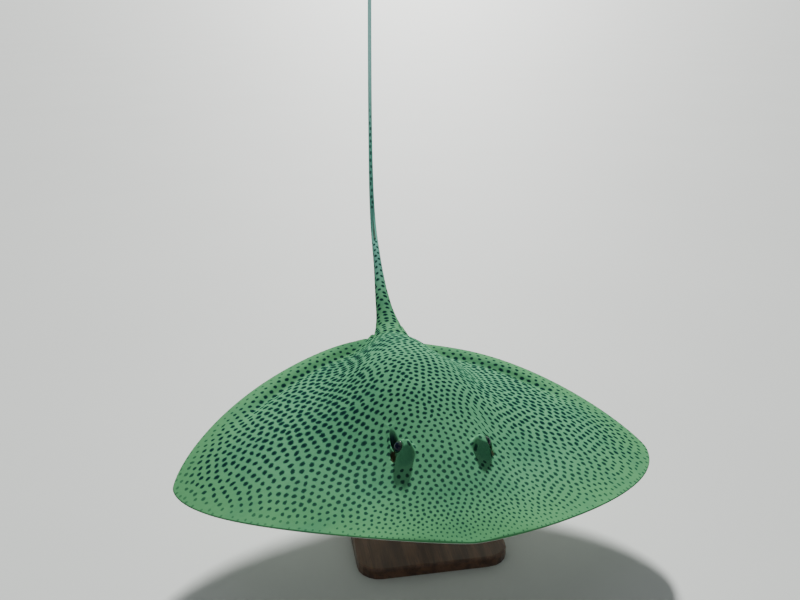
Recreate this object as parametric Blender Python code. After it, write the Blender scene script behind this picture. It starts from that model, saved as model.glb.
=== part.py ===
"""Reticulate whipray, life size, gliding on a plain display stand.

The animal faces -Y, its left side is +X and +Z is up.  The origin is the
centre of the underside of the stand's base.  Metres throughout.

The body is written as two height fields, one for the back and one for the
underside, over the flat outline of the disc.  A place on the disc is given by
its station, the distance behind the tip of the snout, and by its distance
across from the midline.  Every body node is a piece of those two surfaces,
parted by thin cuts, and is then bent into the glide.
"""

import math

import bpy
import bmesh
import numpy as np
from mathutils import Vector

# ---------------------------------------------------------------- sizes
DISC_WIDTH = 1.0              # wing tip to wing tip, laid flat
GAP = 0.0003                  # between neighbouring nodes

# Outline of the disc, as fractions of its width.
WIDEST = 0.418                # station of the wing tips
REAR_LENGTH = 0.480           # from there to the rear end of the disc
FRONT_POWER = 1.49            # below 2 the corners turn from round to rhombic
REAR_POWER = 1.62
DISC_CENTRE = 0.45            # station that the pose turns about

# Thickness, as fractions of the disc width.
EDGE = 0.0032                 # thickness at the margin
WING_DEPTH = 0.040            # rise of the wing muscle over the margin
BELLY_DEPTH = 0.022
RIDGE_HEIGHT = ((0.0, 0.0), (0.05, 0.0075), (0.10, 0.0125), (0.20, 0.0255), (0.30, 0.036),
                (0.42, 0.0475), (0.55, 0.059), (0.68, 0.058), (0.80, 0.044), (0.90, 0.034))
RIDGE_HALF = ((0.0, 0.10), (0.15, 0.10), (0.30, 0.115), (0.42, 0.125), (0.55, 0.118),
              (0.68, 0.090), (0.80, 0.060), (0.90, 0.049))
KEEL_DEPTH = ((0.0, 0.0), (0.50, 0.0), (0.70, 0.006), (0.83, 0.011), (0.95, 0.011))
RIDGE_POWER = 2.7

# Head.
EYE_STATION = 0.236
EYE_ACROSS = 0.0765
EYE_HEIGHT = 0.0490           # centre of the eyeball over the margin's level
EYE_RADIUS = 0.0125
SOCKET_CLEARANCE = 0.0004
BROW_HEIGHT = 0.022
BROW_STATION = 0.229
BROW_ACROSS = 0.0720
BROW_SIZE = (0.0158, 0.0205)  # across, along
BROW_POWER = 2.1              # above 1 the knob has a flat crown and steep sides
SPIRACLE_STATION = 0.266
SPIRACLE_ACROSS = 0.0830
SPIRACLE_SIZE = (0.0070, 0.0310, 0.0110)
SPIRACLE_TURN = -0.02         # radians, its rear end nearer the midline
MOUTH_STATION = 0.185
MOUTH_WIDTH = 0.085
GILL_STATIONS = (0.262, 0.288, 0.313, 0.336, 0.354)
GILL_ACROSS = (0.0975, 0.093, 0.087, 0.077, 0.0625)
GILL_LENGTH = 0.028

# Cuts between the nodes.
BODY_HALF = ((0.0, 0.130), (0.36, 0.130), (0.50, 0.125), (0.62, 0.098), (0.74, 0.066),
             (0.83, 0.0490))
HEAD_END = 0.360
TRUNK_END = 0.830
FREE_REAR_TIP = 0.886         # station where each pectoral fin ends in its lobe
INNER_MARGIN_FLARE = 0.021    # how far the inner margin swings out over that lobe
PELVIC_START = 0.775
PELVIC_END = 0.915
PELVIC_SPAN = (0.034, 0.120)  # inner and outer reach across
PELVIC_THICKNESS = 0.0055
PELVIC_CLEARANCE = 0.0016     # under the disc, as the two are faceted differently

# Tail, against the length along it from the rear of the trunk.
TAIL_LENGTH = 2.30
TAIL_WIDTH = ((0.0, 0.0955), (0.025, 0.0860), (0.055, 0.0730), (0.085, 0.0635), (0.12, 0.0525),
              (0.16, 0.0440), (0.21, 0.0380), (0.27, 0.0320), (0.43, 0.0232), (0.64, 0.0187), (0.85, 0.0150),
              (1.04, 0.0127), (1.45, 0.0122), (1.90, 0.0072), (2.30, 0.0022))
TAIL_FLATNESS = ((0.0, 0.82), (0.10, 0.80), (0.30, 0.86), (0.60, 0.95), (2.30, 1.0))
TAIL_RISE = ((0.0, 0.0), (0.12, 14.0), (0.35, 6.0), (0.58, 7.0), (0.72, 24.0), (0.86, 52.0),
             (1.05, 76.0), (1.38, 76.0), (1.80, 50.0), (2.30, 16.0))
TAIL_SWING = ((0.0, 0.0), (0.05, 3.5), (0.12, 1.5), (0.20, 3.6), (0.35, 5.8), (0.70, 5.8),
              (1.30, 10.2), (2.30, 13.0))
TAIL_CUTS = (0.0, 0.24, 0.80, 1.50, 2.30)
TAIL_NODES = ("tail_base", "tail_whip_1", "tail_whip_2", "tail_whip_3")
TAIL_RINGS = (11, 15, 18, 16)
TAIL_CENTRE_HEIGHT = 0.0125   # of its first ring, over the margin's level
TAIL_AROUND = 10

SPINE_START = 0.585           # along the tail
SPINE_LENGTH = 0.120
SPINE_WIDTH = 0.0075
SPINE_THICKNESS = 0.0028
SPINE_TEETH = 12
SPINE_LIFT = 0.005            # how far the tip stands off the tail

# Pose.
WING_DROOP = (0.123, 0.087)   # of the right and the left wing tip
SNOUT_RISE = 0.012
REAR_DROOP = 0.0286
REAR_SWING = 0.015            # of the disc's rear, to the animal's left
REAR_TWIST = 0.117            # lifts the right rear lobe and lowers the left one
TWIST_REACH = 0.16
BANK = 0.042                  # radians, the animal's left side lower
TROUGH_DEPTH = 0.014          # a wave that runs along each rear margin
TROUGH_INLAND = (0.050, 0.18)  # distance ahead of the margin, and its growth outwards
TROUGH_WIDTH = 0.034
TROUGH_REACH = (0.05, 0.12, 0.28, 0.40)   # across: fades in, full, full, fades out

# Stand.
DISC_HEIGHT = 0.245           # of the margin's level over the floor
BODY_SHIFT = -0.035           # of the disc's centre along Y
BASE_LENGTH = 0.46
BASE_WIDTH = 0.30
BASE_THICKNESS = 0.022
BASE_CORNER = 0.045
BASE_EDGE = 0.004
ROD_RADIUS = 0.010
ROD_STATIONS = (0.370, 0.620)
ROD_NODES = ("stand_rod_front", "stand_rod_rear")
ROD_SIDES = 24


# ---------------------------------------------------------------- helpers
def smooth_curve(points):
    """A smooth function through a few (place, value) points.

    Each point's slope is the harmonic mean of the slopes on its two sides,
    or level where those change sign, so the curve never overshoots.
    """
    places = np.array([p[0] for p in points])
    values = np.array([p[1] for p in points], dtype=float)
    steps = np.diff(places)
    rises = np.diff(values) / steps
    slopes = np.zeros(len(points))
    for i in range(1, len(points) - 1):
        before, after = rises[i - 1], rises[i]
        if before * after > 0.0:
            slopes[i] = 2.0 * before * after / (before + after)
    slopes[0], slopes[-1] = rises[0], rises[-1]

    def curve(at):
        at = np.clip(at, places[0], places[-1])
        k = np.clip(np.searchsorted(places, at, side="right") - 1, 0, len(steps) - 1)
        t = (at - places[k]) / steps[k]
        hold = (1 + 2 * t) * (1 - t) ** 2 * values[k] + t * t * (3 - 2 * t) * values[k + 1]
        lean = t * (1 - t) ** 2 * slopes[k] - t * t * (1 - t) * slopes[k + 1]
        return hold + steps[k] * lean

    return curve


ridge_height = smooth_curve(RIDGE_HEIGHT)
ridge_half = smooth_curve(RIDGE_HALF)
keel_depth = smooth_curve(KEEL_DEPTH)
tail_width = smooth_curve(TAIL_WIDTH)
tail_flatness = smooth_curve(TAIL_FLATNESS)
tail_rise = smooth_curve(TAIL_RISE)
tail_swing = smooth_curve(TAIL_SWING)


def body_half(station):
    """Half the width of head and trunk, in straight runs so that neighbours match."""
    return np.interp(station, [p[0] for p in BODY_HALF], [p[1] for p in BODY_HALF])


def with_corners(stations):
    """Adds the stations where the body's side turns, so that both sides of a cut share them."""
    corners = [p[0] for p in BODY_HALF if stations[0] < p[0] < stations[-1]]
    kept = [s for s in stations if all(abs(s - c) > 0.006 for c in corners)]
    return np.sort(np.array(kept + corners))


def reach(station):
    """How far a station is from the widest one, from 0 there to 1 at either end."""
    front = (WIDEST - station) / WIDEST
    rear = (station - WIDEST) / REAR_LENGTH
    return np.clip(np.where(station < WIDEST, front, rear), 0.0, 1.0)


def outline_power(station):
    return np.where(station < WIDEST, FRONT_POWER, REAR_POWER)


def disc_half(station):
    """Half the disc's width at a station, from its superellipse quadrants."""
    power = outline_power(station)
    return 0.5 * (1.0 - reach(station) ** power) ** (1.0 / power)


def margin_ratio(across, station):
    """0 at the disc's middle and 1 on its margin."""
    power = outline_power(station)
    ratio = (2.0 * np.abs(across)) ** power + reach(station) ** power
    return np.clip(ratio ** (1.0 / power), 0.0, 1.0)


def ridge_shape(across, station):
    return np.exp(-(np.abs(across) / ridge_half(station)) ** RIDGE_POWER)


def brow(across, station):
    """The raised lid over each eye, a bell with a flat crown."""
    u = (np.abs(across) - BROW_ACROSS) / BROW_SIZE[0]
    v = (station - BROW_STATION) / BROW_SIZE[1]
    return BROW_HEIGHT * np.exp(-(u * u + v * v) ** BROW_POWER)


def back_height(across, station):
    ratio = margin_ratio(across, station)
    wing = WING_DEPTH * (1.0 - ratio ** 1.6) ** 1.8
    side = np.clip(np.abs(across) / np.maximum(disc_half(station), 1e-6), 0.0, 1.0)
    ridge = ridge_height(station) * ridge_shape(across, station) * (1.0 - side ** 8)
    return EDGE / 2 + wing + ridge + brow(across, station)


def belly_height(across, station):
    ratio = margin_ratio(across, station)
    belly = BELLY_DEPTH * (1.0 - ratio ** 3) ** 1.2
    keel = keel_depth(station) * ridge_shape(across, station)
    return -(EDGE / 2 + belly + keel)


def soft_step(value, low, high):
    t = np.clip((value - low) / (high - low), 0.0, 1.0)
    return t * t * (3.0 - 2.0 * t)


def rear_wave(across, station):
    """How deep the trough ahead of each rear margin is at a place."""
    across = np.abs(across)
    margin = WIDEST + REAR_LENGTH * (
        1.0 - np.clip(2.0 * across, 0.0, 1.0) ** REAR_POWER) ** (1.0 / REAR_POWER)
    inland = TROUGH_INLAND[0] + TROUGH_INLAND[1] * across
    near, full, last, far = TROUGH_REACH
    shape = np.exp(-((margin - station - inland) / TROUGH_WIDTH) ** 2)
    return TROUGH_DEPTH * shape * soft_step(across, near, full) * soft_step(-across, -far, -last)


def posed(across, station, height):
    """Bends the flat animal into its glide and sets it over the stand.

    Wing tips, snout and rear leave the level as the square of their
    distance from the disc's centre, then the whole banks about Y.
    """
    half = np.abs(across) / 0.5
    droop = np.where(across < 0.0, WING_DROOP[0], WING_DROOP[1])
    ahead = np.clip((DISC_CENTRE - station) / DISC_CENTRE, 0.0, None)
    behind = np.clip((station - DISC_CENTRE) / DISC_CENTRE, 0.0, 1.0)
    z = height - droop * half ** 2 + SNOUT_RISE * ahead ** 2 - REAR_DROOP * behind ** 2
    twist = REAR_TWIST * across * np.exp(-(across / TWIST_REACH) ** 2) * behind ** 2
    z = z - rear_wave(across, station) - twist
    x = across * (1.0 - 1.2 * droop ** 2 * half) + REAR_SWING * behind ** 2
    y = station - DISC_CENTRE
    points = np.stack([x * math.cos(BANK) + z * math.sin(BANK), y + 0.0 * x,
                       z * math.cos(BANK) - x * math.sin(BANK)], axis=-1)
    return points * DISC_WIDTH + np.array([0.0, BODY_SHIFT, DISC_HEIGHT])


def material(name, colour, roughness, metallic=0.0):
    finish = bpy.data.materials.new(name)
    finish.use_nodes = True
    shader = finish.node_tree.nodes["Principled BSDF"]
    shader.inputs["Base Color"].default_value = (*colour, 1.0)
    shader.inputs["Roughness"].default_value = roughness
    shader.inputs["Metallic"].default_value = metallic
    finish.diffuse_color = (*colour, 1.0)
    return finish


def add_object(name, mesh, collection, finish=None):
    thing = bpy.data.objects.new(name, mesh)
    collection.objects.link(thing)
    if finish is not None:
        mesh.materials.append(finish)
        mesh.shade_smooth()
        mesh.set_sharp_from_angle(angle=math.radians(40))
    return thing


def slab_mesh(name, back, belly):
    """A closed slab between two grids of points, walled all round."""
    rows, columns = back.shape[:2]
    points = np.concatenate([back.reshape(-1, 3), belly.reshape(-1, 3)])
    offset = rows * columns

    def at(i, j):
        return i * columns + j

    faces = []
    for i in range(rows - 1):
        for j in range(columns - 1):
            ring = (at(i, j), at(i, j + 1), at(i + 1, j + 1), at(i + 1, j))
            faces.append(ring)
            faces.append(tuple(offset + k for k in reversed(ring)))
    rim = [at(0, j) for j in range(columns - 1)]
    rim += [at(i, columns - 1) for i in range(rows - 1)]
    rim += [at(rows - 1, j) for j in range(columns - 1, 0, -1)]
    rim += [at(i, 0) for i in range(rows - 1, 0, -1)]
    for k, near in enumerate(rim):
        far = rim[(k + 1) % len(rim)]
        faces.append((far, near, offset + near, offset + far))
    mesh = bpy.data.meshes.new(name)
    mesh.from_pydata(points.tolist(), [], faces)
    return mesh


def tube_mesh(name, rings):
    """A closed tube through rings of points, with a flat cap on each end."""
    count, around = rings.shape[:2]
    faces = [tuple(range(around)), tuple(reversed(range((count - 1) * around, count * around)))]
    for i in range(count - 1):
        for j in range(around):
            k = (j + 1) % around
            faces.append((i * around + k, i * around + j,
                          (i + 1) * around + j, (i + 1) * around + k))
    mesh = bpy.data.meshes.new(name)
    mesh.from_pydata(rings.reshape(-1, 3).tolist(), [], faces)
    return mesh


def crowded(start, end, count, centres, spread, extra):
    """Places from start to end that crowd round the centres, where more shape is."""
    fine = np.linspace(start, end, 1201)
    density = 1.0 + extra * sum(np.exp(-((fine - c) / spread) ** 2) for c in centres)
    total = np.concatenate([[0.0], np.cumsum(density[1:] + density[:-1])])
    return np.interp(np.linspace(0.0, total[-1], count), total, fine)


def body_slab(name, stations, inner, outer, columns, finish, collection):
    """A piece of the body between two lines; columns is a count or the parts of its width."""
    parts_of_width = np.linspace(0.0, 1.0, columns) if isinstance(columns, int) else columns
    t = parts_of_width[None, :]
    station = np.asarray(stations)[:, None] + 0.0 * t
    left = inner(station[:, :1])
    right = outer(station[:, :1])
    across = left + (right - left) * t
    back = posed(across, station, back_height(across, station))
    belly = posed(across, station, belly_height(across, station))
    return add_object(name, slab_mesh(name, back, belly), collection, finish)


def eased(start, end, count):
    """Stations that crowd towards both ends, where the outline turns fastest."""
    t = 0.5 - 0.5 * np.cos(np.linspace(0.0, math.pi, count))
    return start + (end - start) * t


# ---------------------------------------------------------------- head and trunk
HALF_GAP = GAP / 2 / DISC_WIDTH


def head_side(station):
    return np.minimum(disc_half(station), body_half(station) - HALF_GAP)


def trunk_side(station):
    return body_half(station) - HALF_GAP


def cut_with(thing, cutter):
    cut = thing.modifiers.new("cut_" + cutter.name, "BOOLEAN")
    cut.operation = "DIFFERENCE"
    cut.solver = "EXACT"
    cut.object = cutter
    cutter.hide_render = True
    cutter.display_type = "WIRE"


def ellipsoid(name, centre, radii, collection, heading=0.0, segments=16, rings=8):
    """A cutter or an eyeball: a sphere stretched along three axes, then placed."""
    shape = bmesh.new()
    bmesh.ops.create_uvsphere(shape, u_segments=segments, v_segments=rings, radius=1.0)
    for corner in shape.verts:
        x, y, z = (corner.co[i] * radii[i] for i in range(3))
        turned = (x * math.cos(heading) - y * math.sin(heading),
                  x * math.sin(heading) + y * math.cos(heading), z)
        corner.co = Vector(turned) + Vector(centre)
    mesh = bpy.data.meshes.new(name)
    shape.to_mesh(mesh)
    shape.free()
    return add_object(name, mesh, collection)


def on_surface(across, station, height):
    return posed(np.array(across), np.array(station), np.array(height))


def eye_centre(side):
    return on_surface(side * EYE_ACROSS, EYE_STATION, EYE_HEIGHT)


def make_head(parts, cutters, skin):
    tip = np.array([0.0015, 0.006, 0.014, 0.025, 0.0388])
    rest = crowded(tip[-1], HEAD_END - HALF_GAP, 21, (BROW_STATION,), 0.030, 2.6)[1:]
    half = body_half(0.0)
    columns = crowded(-half, half, 27, (-BROW_ACROSS, BROW_ACROSS), 0.020, 2.6)
    head = body_slab("head", np.concatenate([tip, rest]), lambda s: -head_side(s), head_side,
                     (columns + half) / (2 * half), skin, parts)
    for side, word in ((-1, "right"), (1, "left")):
        socket = EYE_RADIUS + SOCKET_CLEARANCE
        cut_with(head, ellipsoid("socket_" + word, eye_centre(side), (socket,) * 3, cutters))
        place = SPIRACLE_ACROSS * side, SPIRACLE_STATION
        hole = on_surface(*place, back_height(*map(np.array, place)))
        cut_with(head, ellipsoid("spiracle_" + word, hole, SPIRACLE_SIZE, cutters,
                                 heading=SPIRACLE_TURN * side, segments=12, rings=6))
        for number, (station, across) in enumerate(zip(GILL_STATIONS, GILL_ACROSS), 1):
            spot = on_surface(side * across, station, belly_height(np.array(across),
                                                                   np.array(station)))
            slit = ellipsoid(f"gill_{word}_{number}", spot, (GILL_LENGTH / 2, 0.0022, 0.003),
                             cutters, heading=side * (0.45 + 0.16 * number),
                             segments=6, rings=4)
            cut_with(head, slit)
    cut_with(head, mouth_cutter(cutters))
    return head


def mouth_cutter(cutters):
    """A shallow slot bowed towards the snout, cut into the underside."""
    bend = np.linspace(-1.0, 1.0, 11)
    across = bend * MOUTH_WIDTH / 2
    station = MOUTH_STATION + 0.010 * bend ** 2 - 0.006 * np.cos(bend * math.pi * 1.5)
    line = posed(across, station, belly_height(across, station))
    turn = np.linspace(0.0, 2 * math.pi, 8, endpoint=False)
    girth = 0.0045 * np.sqrt(1.02 - bend ** 2)
    rings = np.stack([
        line[:, None, 0] + 0.0 * turn,
        line[:, None, 1] + girth[:, None] * np.cos(turn),
        line[:, None, 2] + girth[:, None] * np.sin(turn)], axis=-1)
    return add_object("mouth_slot", tube_mesh("mouth_slot", rings[:, ::-1]), cutters)


def make_trunk(parts, skin):
    stations = with_corners(np.linspace(HEAD_END + HALF_GAP, TRUNK_END - HALF_GAP, 12))
    return body_slab("trunk", stations, lambda s: -trunk_side(s), trunk_side, 13, skin, parts)


# ---------------------------------------------------------------- fins
def inner_margin(station):
    """The pectoral fin's inner line: the body's side, then a swing out to the lobe."""
    past = np.clip((station - TRUNK_END) / (FREE_REAR_TIP - TRUNK_END), 0.0, 1.0)
    return body_half(station) + INNER_MARGIN_FLARE * past ** 1.5 + HALF_GAP


def first_fin_station():
    """Where the disc first stands 3 mm clear of the head's side."""
    stations = np.linspace(0.0, WIDEST, 2001)
    clear = disc_half(stations) - inner_margin(stations)
    return float(stations[np.argmax(clear > 0.003)])


def make_pectoral(side, word, parts, skin):
    stations = with_corners(eased(first_fin_station(), FREE_REAR_TIP, 23))

    def inner(s):
        return inner_margin(s) if side > 0 else -disc_half(s)

    def outer(s):
        return disc_half(s) if side > 0 else -inner_margin(s)

    return body_slab("pectoral_fin_" + word, stations, inner, outer, 11, skin, parts)


def make_pelvic(side, word, parts, skin):
    """A rounded lobe tucked under the rear of the disc, showing just past it."""
    rows, columns = 9, 7
    along = np.linspace(0.0, 1.0, rows)[:, None]
    over = np.linspace(0.0, 1.0, columns)[None, :]
    reach_out = PELVIC_SPAN[1] - PELVIC_SPAN[0]
    swell = np.sin(math.pi * np.clip(0.10 + 0.80 * along, 0, 1)) ** 0.6
    across = side * (PELVIC_SPAN[0] + reach_out * swell * over)
    end = PELVIC_END - 0.018 * over ** 2
    station = PELVIC_START + (end - PELVIC_START) * along
    lid = belly_height(across, np.minimum(station, FREE_REAR_TIP)) - PELVIC_CLEARANCE
    thin = 0.35 + 0.65 * (1.0 - over ** 2) * (1.0 - along ** 2)
    back = posed(across, station, lid)
    belly = posed(across, station, lid - PELVIC_THICKNESS * thin)
    if side < 0:
        back, belly = back[:, ::-1], belly[:, ::-1]
    name = "pelvic_fin_" + word
    return add_object(name, slab_mesh(name, back, belly), parts, skin)


# ---------------------------------------------------------------- tail
def tail_frame(count=921):
    """Points down the middle of the tail, with its side and upward directions.

    The heading is given by a rise over the level and a swing across, both
    smooth functions of the length, and is added up from the root.
    """
    length = np.linspace(0.0, TAIL_LENGTH, count)
    rise = np.radians(tail_rise(length))
    swing = np.radians(tail_swing(length))
    ahead = np.stack([np.cos(rise) * np.sin(swing), np.cos(rise) * np.cos(swing),
                      np.sin(rise)], axis=-1)
    side = np.stack([np.cos(swing), -np.sin(swing), 0.0 * swing], axis=-1)
    up = np.cross(side, ahead)
    step = length[1] - length[0]
    runs = np.concatenate([np.zeros((1, 3)), np.cumsum((ahead[1:] + ahead[:-1]) / 2, axis=0)])
    root = posed(np.array(0.0), np.array(TRUNK_END + HALF_GAP), np.array(TAIL_CENTRE_HEIGHT))
    middle = root + runs * step * DISC_WIDTH
    return length, middle, side, up


TAIL = tail_frame()


def along_tail(at, across, over):
    """Points beside the tail's middle line: a length along it, then two offsets."""
    length, middle, side, up = TAIL

    def read(table):
        return np.stack([np.interp(at, length, table[:, k]) for k in range(3)], axis=-1)

    return read(middle) + across[..., None] * read(side) + over[..., None] * read(up)


def tail_half(at):
    """Half the tail's width and half its height."""
    half = DISC_WIDTH * tail_width(at) / 2
    return half, half * tail_flatness(at)


def make_tail(parts, skin):
    turn = np.linspace(0.0, 2 * math.pi, TAIL_AROUND, endpoint=False)[None, :]
    for k, name in enumerate(TAIL_NODES):
        start = TAIL_CUTS[k] + (HALF_GAP if k else 0.0)
        end = TAIL_CUTS[k + 1] - HALF_GAP
        at = np.linspace(start, end, TAIL_RINGS[k])[:, None] + 0.0 * turn
        half, tall = tail_half(at)
        rings = along_tail(at, half * np.cos(turn), tall * np.sin(turn))
        add_object(name, tube_mesh(name, rings), parts, skin)


def make_spine(parts, horn):
    """The serrated sting, a tapering blade that lies on the tail's back."""
    rows = 2 * SPINE_TEETH + 1
    t = np.linspace(0.0, 1.0, rows)
    at = SPINE_START + SPINE_LENGTH * t
    taper = np.clip(1.0 - t, 0.02, 1.0) ** 0.55 * (0.80 + 0.20 * np.minimum(1.0, t * 8))
    notch = np.where(np.arange(rows) % 2 == 1, 1.0, 0.86)
    half = SPINE_WIDTH / 2 * taper * notch
    across = half[:, None] * np.array([-1.0, -0.45, 0.45, 1.0])
    top = np.array([0.25, 1.0, 1.0, 0.25])
    length = at[:, None] + 0.0 * across
    tall = tail_half(length)[1] + 0.0007 + SPINE_LIFT * (t ** 2)[:, None]
    depth = SPINE_THICKNESS * (0.35 + 0.65 * (1.0 - t))[:, None]
    back = along_tail(length, across, tall + depth * top)
    under = along_tail(length, across, tall + 0.0 * across)
    return add_object("tail_spine", slab_mesh("tail_spine", back, under), parts, horn)


# ---------------------------------------------------------------- eyes
def make_eyes(parts, glossy):
    for side, word in ((-1, "right"), (1, "left")):
        eye = ellipsoid("eye_" + word, eye_centre(side), (EYE_RADIUS,) * 3, parts)
        eye.data.materials.append(glossy)
        eye.data.shade_smooth()


# ---------------------------------------------------------------- stand
def make_base(parts, finish):
    """A flat plate with rounded corners and a small rounded upper edge."""
    outline = bpy.data.curves.new("base_outline", "CURVE")
    outline.dimensions = "2D"
    outline.fill_mode = "BOTH"
    outline.extrude = BASE_THICKNESS / 2
    corners = []
    for quarter in range(4):
        sx = (1, -1, -1, 1)[quarter]
        sy = (1, 1, -1, -1)[quarter]
        for step in range(6):
            turn = math.pi / 2 * (quarter + step / 5)
            corners.append((sx * (BASE_WIDTH / 2 - BASE_CORNER) + BASE_CORNER * math.cos(turn),
                            sy * (BASE_LENGTH / 2 - BASE_CORNER) + BASE_CORNER * math.sin(turn)))
    line = outline.splines.new("POLY")
    line.points.add(len(corners) - 1)
    for point, (x, y) in zip(line.points, corners):
        point.co = (x, y, 0.0, 1.0)
    line.use_cyclic_u = True
    guide = bpy.data.objects.new("base_outline", outline)
    parts.objects.link(guide)
    bpy.context.view_layer.update()
    mesh = bpy.data.meshes.new_from_object(guide.evaluated_get(
        bpy.context.evaluated_depsgraph_get()))
    bpy.data.objects.remove(guide)
    shape = bmesh.new()
    shape.from_mesh(mesh)
    bmesh.ops.remove_doubles(shape, verts=shape.verts, dist=0.00001)
    for corner in shape.verts:
        corner.co.z += BASE_THICKNESS / 2
    upper = [e for e in shape.edges
             if e.calc_face_angle(0.0) > 1.0 and all(v.co.z > BASE_THICKNESS * 0.9 for v in e.verts)]
    bmesh.ops.bevel(shape, geom=upper, offset=BASE_EDGE, segments=2, profile=0.5,
                    affect="EDGES")
    shape.to_mesh(mesh)
    shape.free()
    mesh.name = "stand_base"
    mesh.materials.clear()
    return add_object("stand_base", mesh, parts, finish)


def make_rod(name, station, parts, finish):
    """A round rod whose head is cut to the slope of the belly it carries."""
    shape = bmesh.new()
    bmesh.ops.create_cone(shape, cap_ends=True, segments=ROD_SIDES, radius1=ROD_RADIUS,
                          radius2=ROD_RADIUS, depth=1.0)
    place = station - DISC_CENTRE
    for corner in shape.verts:
        x, y = corner.co.x, corner.co.y
        if corner.co.z < 0.0:
            z = BASE_THICKNESS + GAP
        else:
            spot = belly_height(np.array(x / DISC_WIDTH), np.array(station + y / DISC_WIDTH))
            z = posed(np.array(x), np.array(station + y / DISC_WIDTH), spot)[2] - 1.6 * GAP
        corner.co = Vector((x, place * DISC_WIDTH + BODY_SHIFT + y, float(z)))
    mesh = bpy.data.meshes.new(name)
    shape.to_mesh(mesh)
    shape.free()
    return add_object(name, mesh, parts, finish)


# ---------------------------------------------------------------- build
def build():
    for thing in list(bpy.data.objects):
        bpy.data.objects.remove(thing, do_unlink=True)
    parts = bpy.data.collections.new("reticulate_whipray")
    cutters = bpy.data.collections.new("cutters")
    for collection in (parts, cutters):
        bpy.context.scene.collection.children.link(collection)

    skins = {}
    for name, colour in (("head", (0.19, 0.27, 0.17)), ("trunk", (0.18, 0.26, 0.16)),
                         ("fin", (0.20, 0.29, 0.18)), ("tail", (0.16, 0.22, 0.16))):
        skins[name] = material(name + "_skin", colour, 0.45)
    horn = material("spine_horn", (0.55, 0.50, 0.38), 0.4)
    glossy = material("eye_gloss", (0.01, 0.015, 0.03), 0.08)
    lacquer = material("base_lacquer", (0.03, 0.03, 0.035), 0.35)
    steel = material("rod_steel", (0.60, 0.60, 0.62), 0.30, 1.0)

    make_head(parts, cutters, skins["head"])
    make_trunk(parts, skins["trunk"])
    for side, word in ((-1, "right"), (1, "left")):
        make_pectoral(side, word, parts, skins["fin"])
        make_pelvic(side, word, parts, skins["fin"])
    make_tail(parts, skins["tail"])
    make_spine(parts, horn)
    make_eyes(parts, glossy)
    make_base(parts, lacquer)
    for name, station in zip(ROD_NODES, ROD_STATIONS):
        make_rod(name, station, parts, steel)


build()
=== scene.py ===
# %% [markdown]
# # A reticulate whipray on its display stand
#
# The model is a life-size whipray, a flat ray with a rhombic disc, a dense coat
# of small dark spots and a whip of a tail more than twice as long as the disc is
# wide. It glides with drooped wings over a plain stand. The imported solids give
# the construction; this script gives the looks.
#
# The whole animal is first shaped flat and straight, where a place on it is just
# a distance across and a station behind the snout. Spots are laid out in that
# flat state too. Only at the end is the skin bent into its glide, so pattern and
# form always agree.

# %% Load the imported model
import math

import bmesh
import bpy
import numpy as np
from mathutils import Matrix, Vector


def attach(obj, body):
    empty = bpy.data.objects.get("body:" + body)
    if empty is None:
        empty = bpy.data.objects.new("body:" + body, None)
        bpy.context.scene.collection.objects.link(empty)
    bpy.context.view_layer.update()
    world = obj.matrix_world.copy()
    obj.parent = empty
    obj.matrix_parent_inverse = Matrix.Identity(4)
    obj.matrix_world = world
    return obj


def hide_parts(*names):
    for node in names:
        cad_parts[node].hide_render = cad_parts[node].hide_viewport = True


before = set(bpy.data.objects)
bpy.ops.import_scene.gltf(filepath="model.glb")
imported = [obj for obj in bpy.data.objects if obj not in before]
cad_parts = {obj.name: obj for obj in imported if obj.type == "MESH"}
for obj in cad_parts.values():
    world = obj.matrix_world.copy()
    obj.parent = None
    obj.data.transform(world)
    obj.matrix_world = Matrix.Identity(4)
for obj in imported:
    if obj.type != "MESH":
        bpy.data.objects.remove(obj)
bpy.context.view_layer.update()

print("nodes:", ", ".join(sorted(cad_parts)))

# %% [markdown]
# ## Sizes
#
# A whipray's body plan is quoted by biologists as fractions of the disc's width,
# and that is how the numbers stand here. One metre is the disc's width, so a
# fraction is also a length in metres. The short tables hold one value where the
# shape turns, and a smooth curve through them gives the rest.

# %% Sizes of the animal
DISC_WIDTH = 1.0
WIDEST, REAR_LENGTH = 0.418, 0.480            # snout to the widest station, and on to the rear
FRONT_POWER, REAR_POWER = 1.49, 1.62
DISC_CENTRE = 0.45
EDGE, WING_DEPTH, BELLY_DEPTH = 0.0032, 0.040, 0.022
RIDGE_HEIGHT = ((0.0, 0.0), (0.05, 0.0075), (0.10, 0.0125), (0.20, 0.0255), (0.30, 0.036),
                (0.42, 0.0475), (0.55, 0.059), (0.68, 0.058), (0.80, 0.044), (0.90, 0.034))
RIDGE_HALF = ((0.0, 0.10), (0.15, 0.10), (0.30, 0.115), (0.42, 0.125), (0.55, 0.118),
              (0.68, 0.090), (0.80, 0.060), (0.90, 0.049))
KEEL_DEPTH = ((0.0, 0.0), (0.50, 0.0), (0.70, 0.006), (0.83, 0.011), (0.95, 0.011))
RIDGE_POWER = 2.7

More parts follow.
